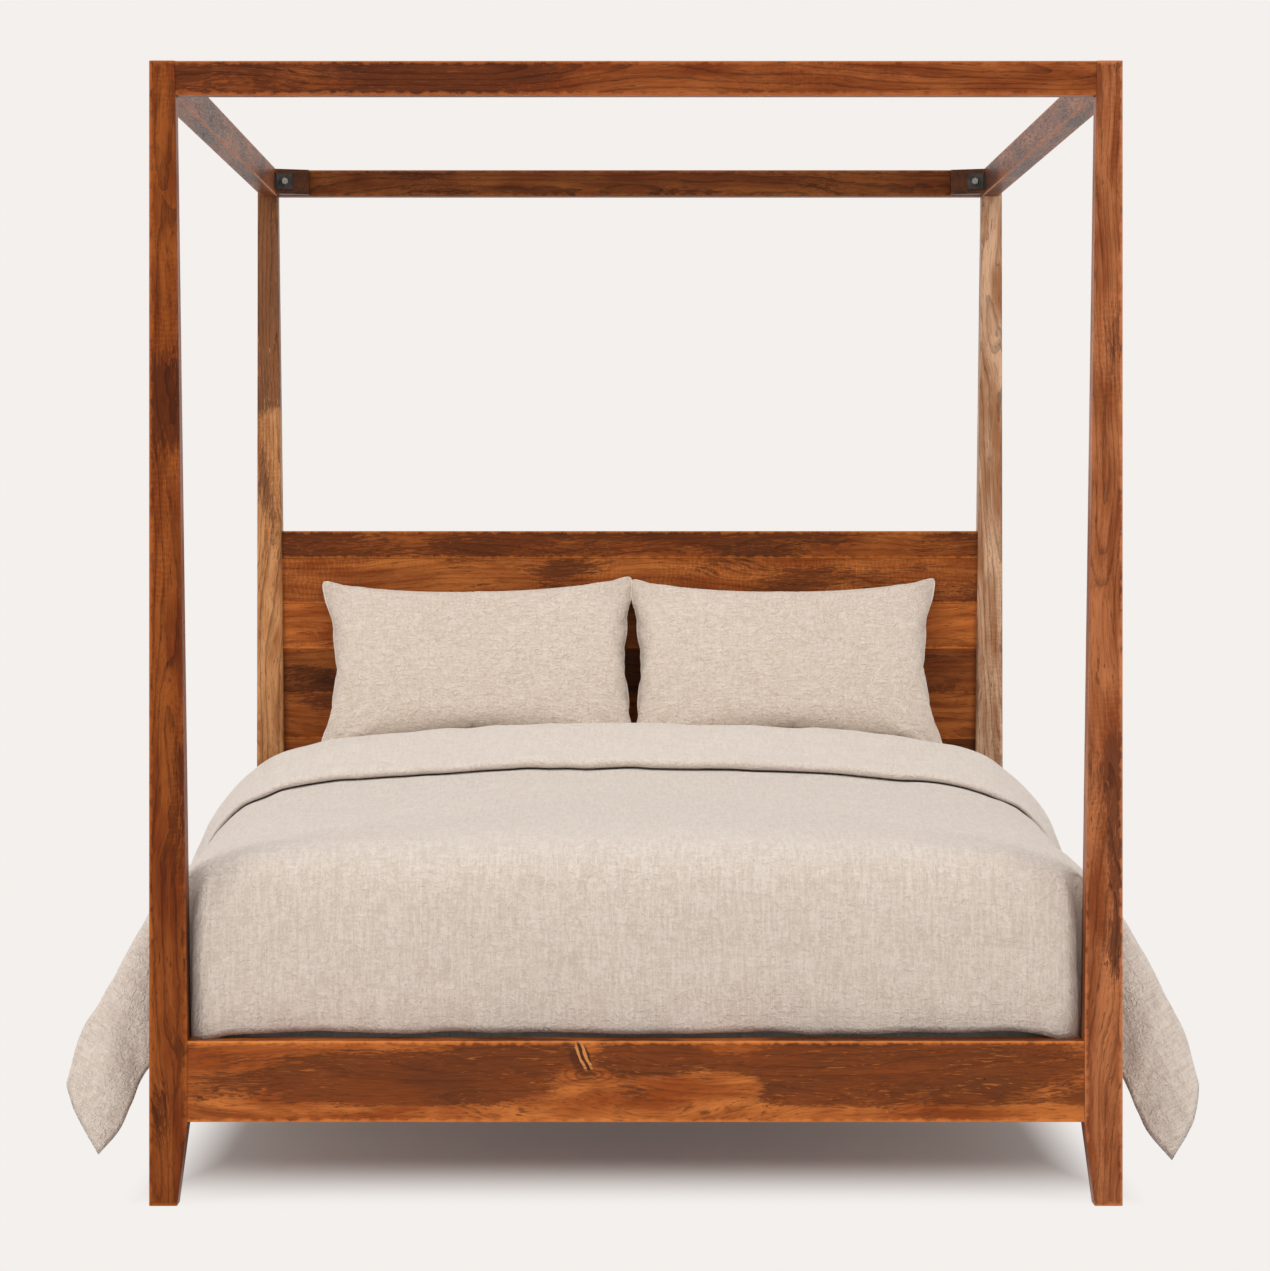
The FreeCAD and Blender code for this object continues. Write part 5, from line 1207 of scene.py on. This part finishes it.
def block_pad(name, node, rows, corner, crown, quilt):
    """A stuffed block: a profile of (share of the way out, share of the height, bulge) carried round a
    rounded rectangle, with its top and bottom closed by strips and quilted by crossed sine waves."""
    low, high = (np.array(end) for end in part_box(node))
    middle = (low + high) / 2
    half = (high - low) / 2
    turn = np.linspace(0, math.pi / 2, PAD_CORNER_POINTS)
    arcs = []
    for quarter, (sx, sy) in enumerate(((1, 1), (-1, 1), (-1, -1), (1, -1))):
        angle = turn + quarter * math.pi / 2
        arcs.append(np.stack([sx * (half[0] - corner) + corner * np.cos(angle),
                              sy * (half[1] - corner) + corner * np.sin(angle)], -1))
    path = np.concatenate(arcs + [arcs[0][:1]])
    length = lengths_along(path)
    even = np.linspace(0, length[-1], PAD_PATH_POINTS + 1)[:-1]
    path = np.stack([np.interp(even, length, path[:, 0]), np.interp(even, length, path[:, 1])], -1)
    outward = path / np.linalg.norm(path, axis=-1, keepdims=True)
    profile = np.array(rows)
    x = path[None, :, 0] * profile[:, :1] + outward[None, :, 0] * profile[:, 2:] * MM
    y = path[None, :, 1] * profile[:, :1] + outward[None, :, 1] * profile[:, 2:] * MM
    z = np.repeat(profile[:, 1:2] * half[2], len(path), 1)
    inside = np.clip((1 - profile[:, :1]) / PAD_EDGE_SHARE, 0, 1)
    waves = np.sin(x * QUILT_WAVES) * np.sin(y * QUILT_WAVES)
    dent = quilt * (np.abs(waves) ** 0.5 - 1) * inside
    z = z + np.sign(profile[:, 1:2]) * (dent - crown * (1 - inside))
    points = np.stack([x, y, z], -1) + middle
    count = len(path)
    index = np.arange(points.shape[0] * count).reshape(-1, count)
    around = np.concatenate([index, index[:, :1]], 1)
    faces = np.concatenate([grid_quads(around), ring_lid(index[0])[:, ::-1], ring_lid(index[-1])])
    flat = np.stack([x, y + z], -1)
    return add_piece(name, points.reshape(-1, 3), faces, flat.reshape(-1, 2))


def make_mattress_and_foundation(ticking, cloth):
    """Two stuffed blocks of one profile: flat faces, and a side with a welt at its top and its bottom."""
    shares = np.linspace(0, PAD_FACE_SHARE, PAD_FACE_ROWS)[1:]
    border = [(0.985, 0.99, 0), (0.994, 0.96, 0), (0.997, 0.92, 1), (0.992, 0.88, 0), (0.992, 0.6, -3),
              (0.992, 0.2, 0), (0.992, -0.2, 0), (0.992, -0.6, -3), (0.992, -0.88, 0), (0.997, -0.92, 1),
              (0.994, -0.96, 0), (0.985, -0.99, 0)]
    rows = [(share, 1, 0) for share in shares] + border + [(share, -1, 0) for share in shares[::-1]]
    mattress = block_pad("mattress_ticking", "mattress", rows, corner=0.06, crown=0.004, quilt=0.006)
    mattress.data.materials.append(ticking)
    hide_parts("mattress")
    foundation = block_pad("foundation_cloth", "foundation", rows, corner=0.05, crown=0.002, quilt=0.0)
    foundation.data.materials.append(cloth)
    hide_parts("foundation")


# Half width of a sewn rectangle that keeps its side lines off the duvet, so only the end hems are sewn
BEYOND_SIDES = 9.0
# How far in from the edge the duvet's hems and the pillows' seams are sewn, in metres
DUVET_HEM = 0.028
PILLOW_SEAM = 0.009


def finish_bedding():
    """The linens, each with its pale, middle and fleck tones, then the pieces that they finish."""
    weave = make_weave_group()
    seam = make_seam_group()
    net, along, across = duvet_net()
    duvet = linen_finish("oatmeal linen", weave,
                         ((0.655, 0.578, 0.518, 1), (0.555, 0.470, 0.405, 1), (0.36, 0.28, 0.22, 1)),
                         slubs=(1.1, 0.5), crumple=0.95, seam=seam,
                         edges=(BEYOND_SIDES, along[-1] / 2, DUVET_HEM))
    pillow = linen_finish("pillow linen", weave,
                          ((0.650, 0.560, 0.485, 1), (0.545, 0.450, 0.370, 1), (0.36, 0.28, 0.22, 1)),
                          slubs=(0.5, 0.8), crumple=1.2, seam=seam,
                          edges=(PILLOW_FLAT[0] / 2, PILLOW_FLAT[1] / 2, PILLOW_SEAM))
    ticking = linen_finish("mattress ticking", weave,
                           ((0.80, 0.78, 0.74, 1), (0.70, 0.68, 0.64, 1), (0.5, 0.48, 0.45, 1)),
                           slubs=(0.4, 0.4), crumple=0.6)
    cloth = linen_finish("foundation cloth", weave,
                         ((0.55, 0.52, 0.48, 1), (0.45, 0.43, 0.40, 1), (0.3, 0.28, 0.26, 1)),
                         slubs=(0.4, 0.4), crumple=0.6)
    make_duvet(duvet, net, along, across)
    make_pillows(pillow)
    make_mattress_and_foundation(ticking, cloth)


# Studio


FILL_COLOUR = (1, 0.985, 0.97, 1)
FILL_STRENGTH = 0.72
FLOOR_COLOUR = (0.905, 0.875, 0.852, 1)
# Distances in metres from the bed's middle over which the floor fades into the background, across and along
FLOOR_FADE_X = (0.74, 0.93)
FLOOR_FADE_Y = (0.55, 1.15)
# Lamps: name, place, aim, size in metres and power in watts
LAMPS = [("overhead", (-0.4, -0.8, 4.6), (0, 0.1, 0.5), 4.2, 106),
         ("front left", (-5.1, -4.2, 2.5), (0, 0, 0.6), 3.2, 116),
         ("front right", (5.1, -4.2, 2.3), (0, 0, 0.6), 3.2, 97)]
LAMP_COLOUR = (1, 0.985, 0.965)
# The camera: its place, its focal length in pixels of the photograph, its sensor's width in mm and its shift
CAMERA_PLACE = (-0.046, -8.024, 1.208)
CAMERA_FOCAL_PIXELS = 3908
CAMERA_SENSOR = 36
CAMERA_SHIFT = (0.0197, -0.0870)


def seen_rays(tree):
    """1 for the rays that show the background as it is: camera, glossy and transmission rays."""
    path = add_node(tree, "ShaderNodeLightPath")
    mirrored = calc(tree, "MAXIMUM", path.outputs["Is Glossy Ray"], path.outputs["Is Transmission Ray"])
    return calc(tree, "MAXIMUM", path.outputs["Is Camera Ray"], mirrored)


def make_world(scene):
    """Soft fill light, and the background's own colour for the rays that see it."""
    world = bpy.data.worlds.new("studio")
    scene.world = world
    world.use_nodes = True
    tree = world.node_tree
    shown = tree.nodes["Background"]
    shown.inputs["Color"].default_value = BACKGROUND
    fill = add_node(tree, "ShaderNodeBackground", {"Color": FILL_COLOUR, "Strength": FILL_STRENGTH})
    choice = add_node(tree, "ShaderNodeMixShader",
                      {0: seen_rays(tree), 1: fill.outputs[0], 2: shown.outputs[0]})
    tree.links.new(choice.outputs[0], tree.nodes["World Output"].inputs["Surface"])


def make_floor(scene):
    """A pale floor that keeps the shadow under the bed and fades into the background around it."""
    mesh = bpy.data.meshes.new("floor")
    mesh.from_pydata([(-9, -9, 0), (9, -9, 0), (9, 9, 0), (-9, 9, 0)], [], [(0, 1, 2, 3)])
    floor = bpy.data.objects.new("floor", mesh)
    scene.collection.objects.link(floor)
    material = bpy.data.materials.new("pale floor")
    material.use_nodes = True
    mesh.materials.append(material)
    tree = material.node_tree
    shader = tree.nodes["Principled BSDF"]
    shader.inputs["Roughness"].default_value = 0.9
    shader.inputs["Specular IOR Level"].default_value = 0.1
    shader.inputs["Base Color"].default_value = FLOOR_COLOUR
    split = add_node(tree, "ShaderNodeSeparateXYZ", {0: object_place(tree)})
    sides = remap(tree, calc(tree, "ABSOLUTE", split.outputs["X"]), *FLOOR_FADE_X)
    front = remap(tree, calc(tree, "ABSOLUTE", split.outputs["Y"]), *FLOOR_FADE_Y, 0.08, 1.0)
    glow = add_node(tree, "ShaderNodeEmission", {"Color": BACKGROUND, "Strength": 1.0})
    fade = calc(tree, "MULTIPLY", calc(tree, "MAXIMUM", sides, front), seen_rays(tree))
    choice = add_node(tree, "ShaderNodeMixShader", {0: fade, 1: shader.outputs[0], 2: glow.outputs[0]})
    tree.links.new(choice.outputs[0], tree.nodes["Material Output"].inputs["Surface"])


def make_lamps(scene):
    """Area lamps, each turned from its place towards its aim."""
    for name, place, aim, size, energy in LAMPS:
        light = bpy.data.lights.new(name, "AREA")
        light.size = size
        light.energy = energy
        light.color = LAMP_COLOUR
        lamp = bpy.data.objects.new(name, light)
        lamp.location = place
        direction = np.array(aim, float) - np.array(place)
        lamp.rotation_euler = (math.acos(-direction[2] / np.linalg.norm(direction)), 0,
                               math.atan2(-direction[0], direction[1]))
        scene.collection.objects.link(lamp)


def make_camera(scene):
    """The camera at the photograph's viewing angle."""
    camera = bpy.data.cameras.new("camera")
    camera.sensor_fit = "HORIZONTAL"
    camera.sensor_width = CAMERA_SENSOR
    camera.lens = CAMERA_FOCAL_PIXELS / PHOTO_WIDTH * CAMERA_SENSOR
    camera.shift_x, camera.shift_y = CAMERA_SHIFT
    camera.clip_end = 60
    eye = bpy.data.objects.new("camera", camera)
    eye.location = CAMERA_PLACE
    eye.rotation_euler = (math.pi / 2, 0, 0)
    scene.collection.objects.link(eye)
    scene.camera = eye


def make_studio():
    """The view transform, the world, the floor, the lamps and the camera."""
    scene = bpy.context.scene
    scene.view_settings.view_transform = "Standard"
    make_world(scene)
    make_floor(scene)
    make_lamps(scene)
    make_camera(scene)


finish_wood()
finish_metal()
finish_bedding()
make_studio()
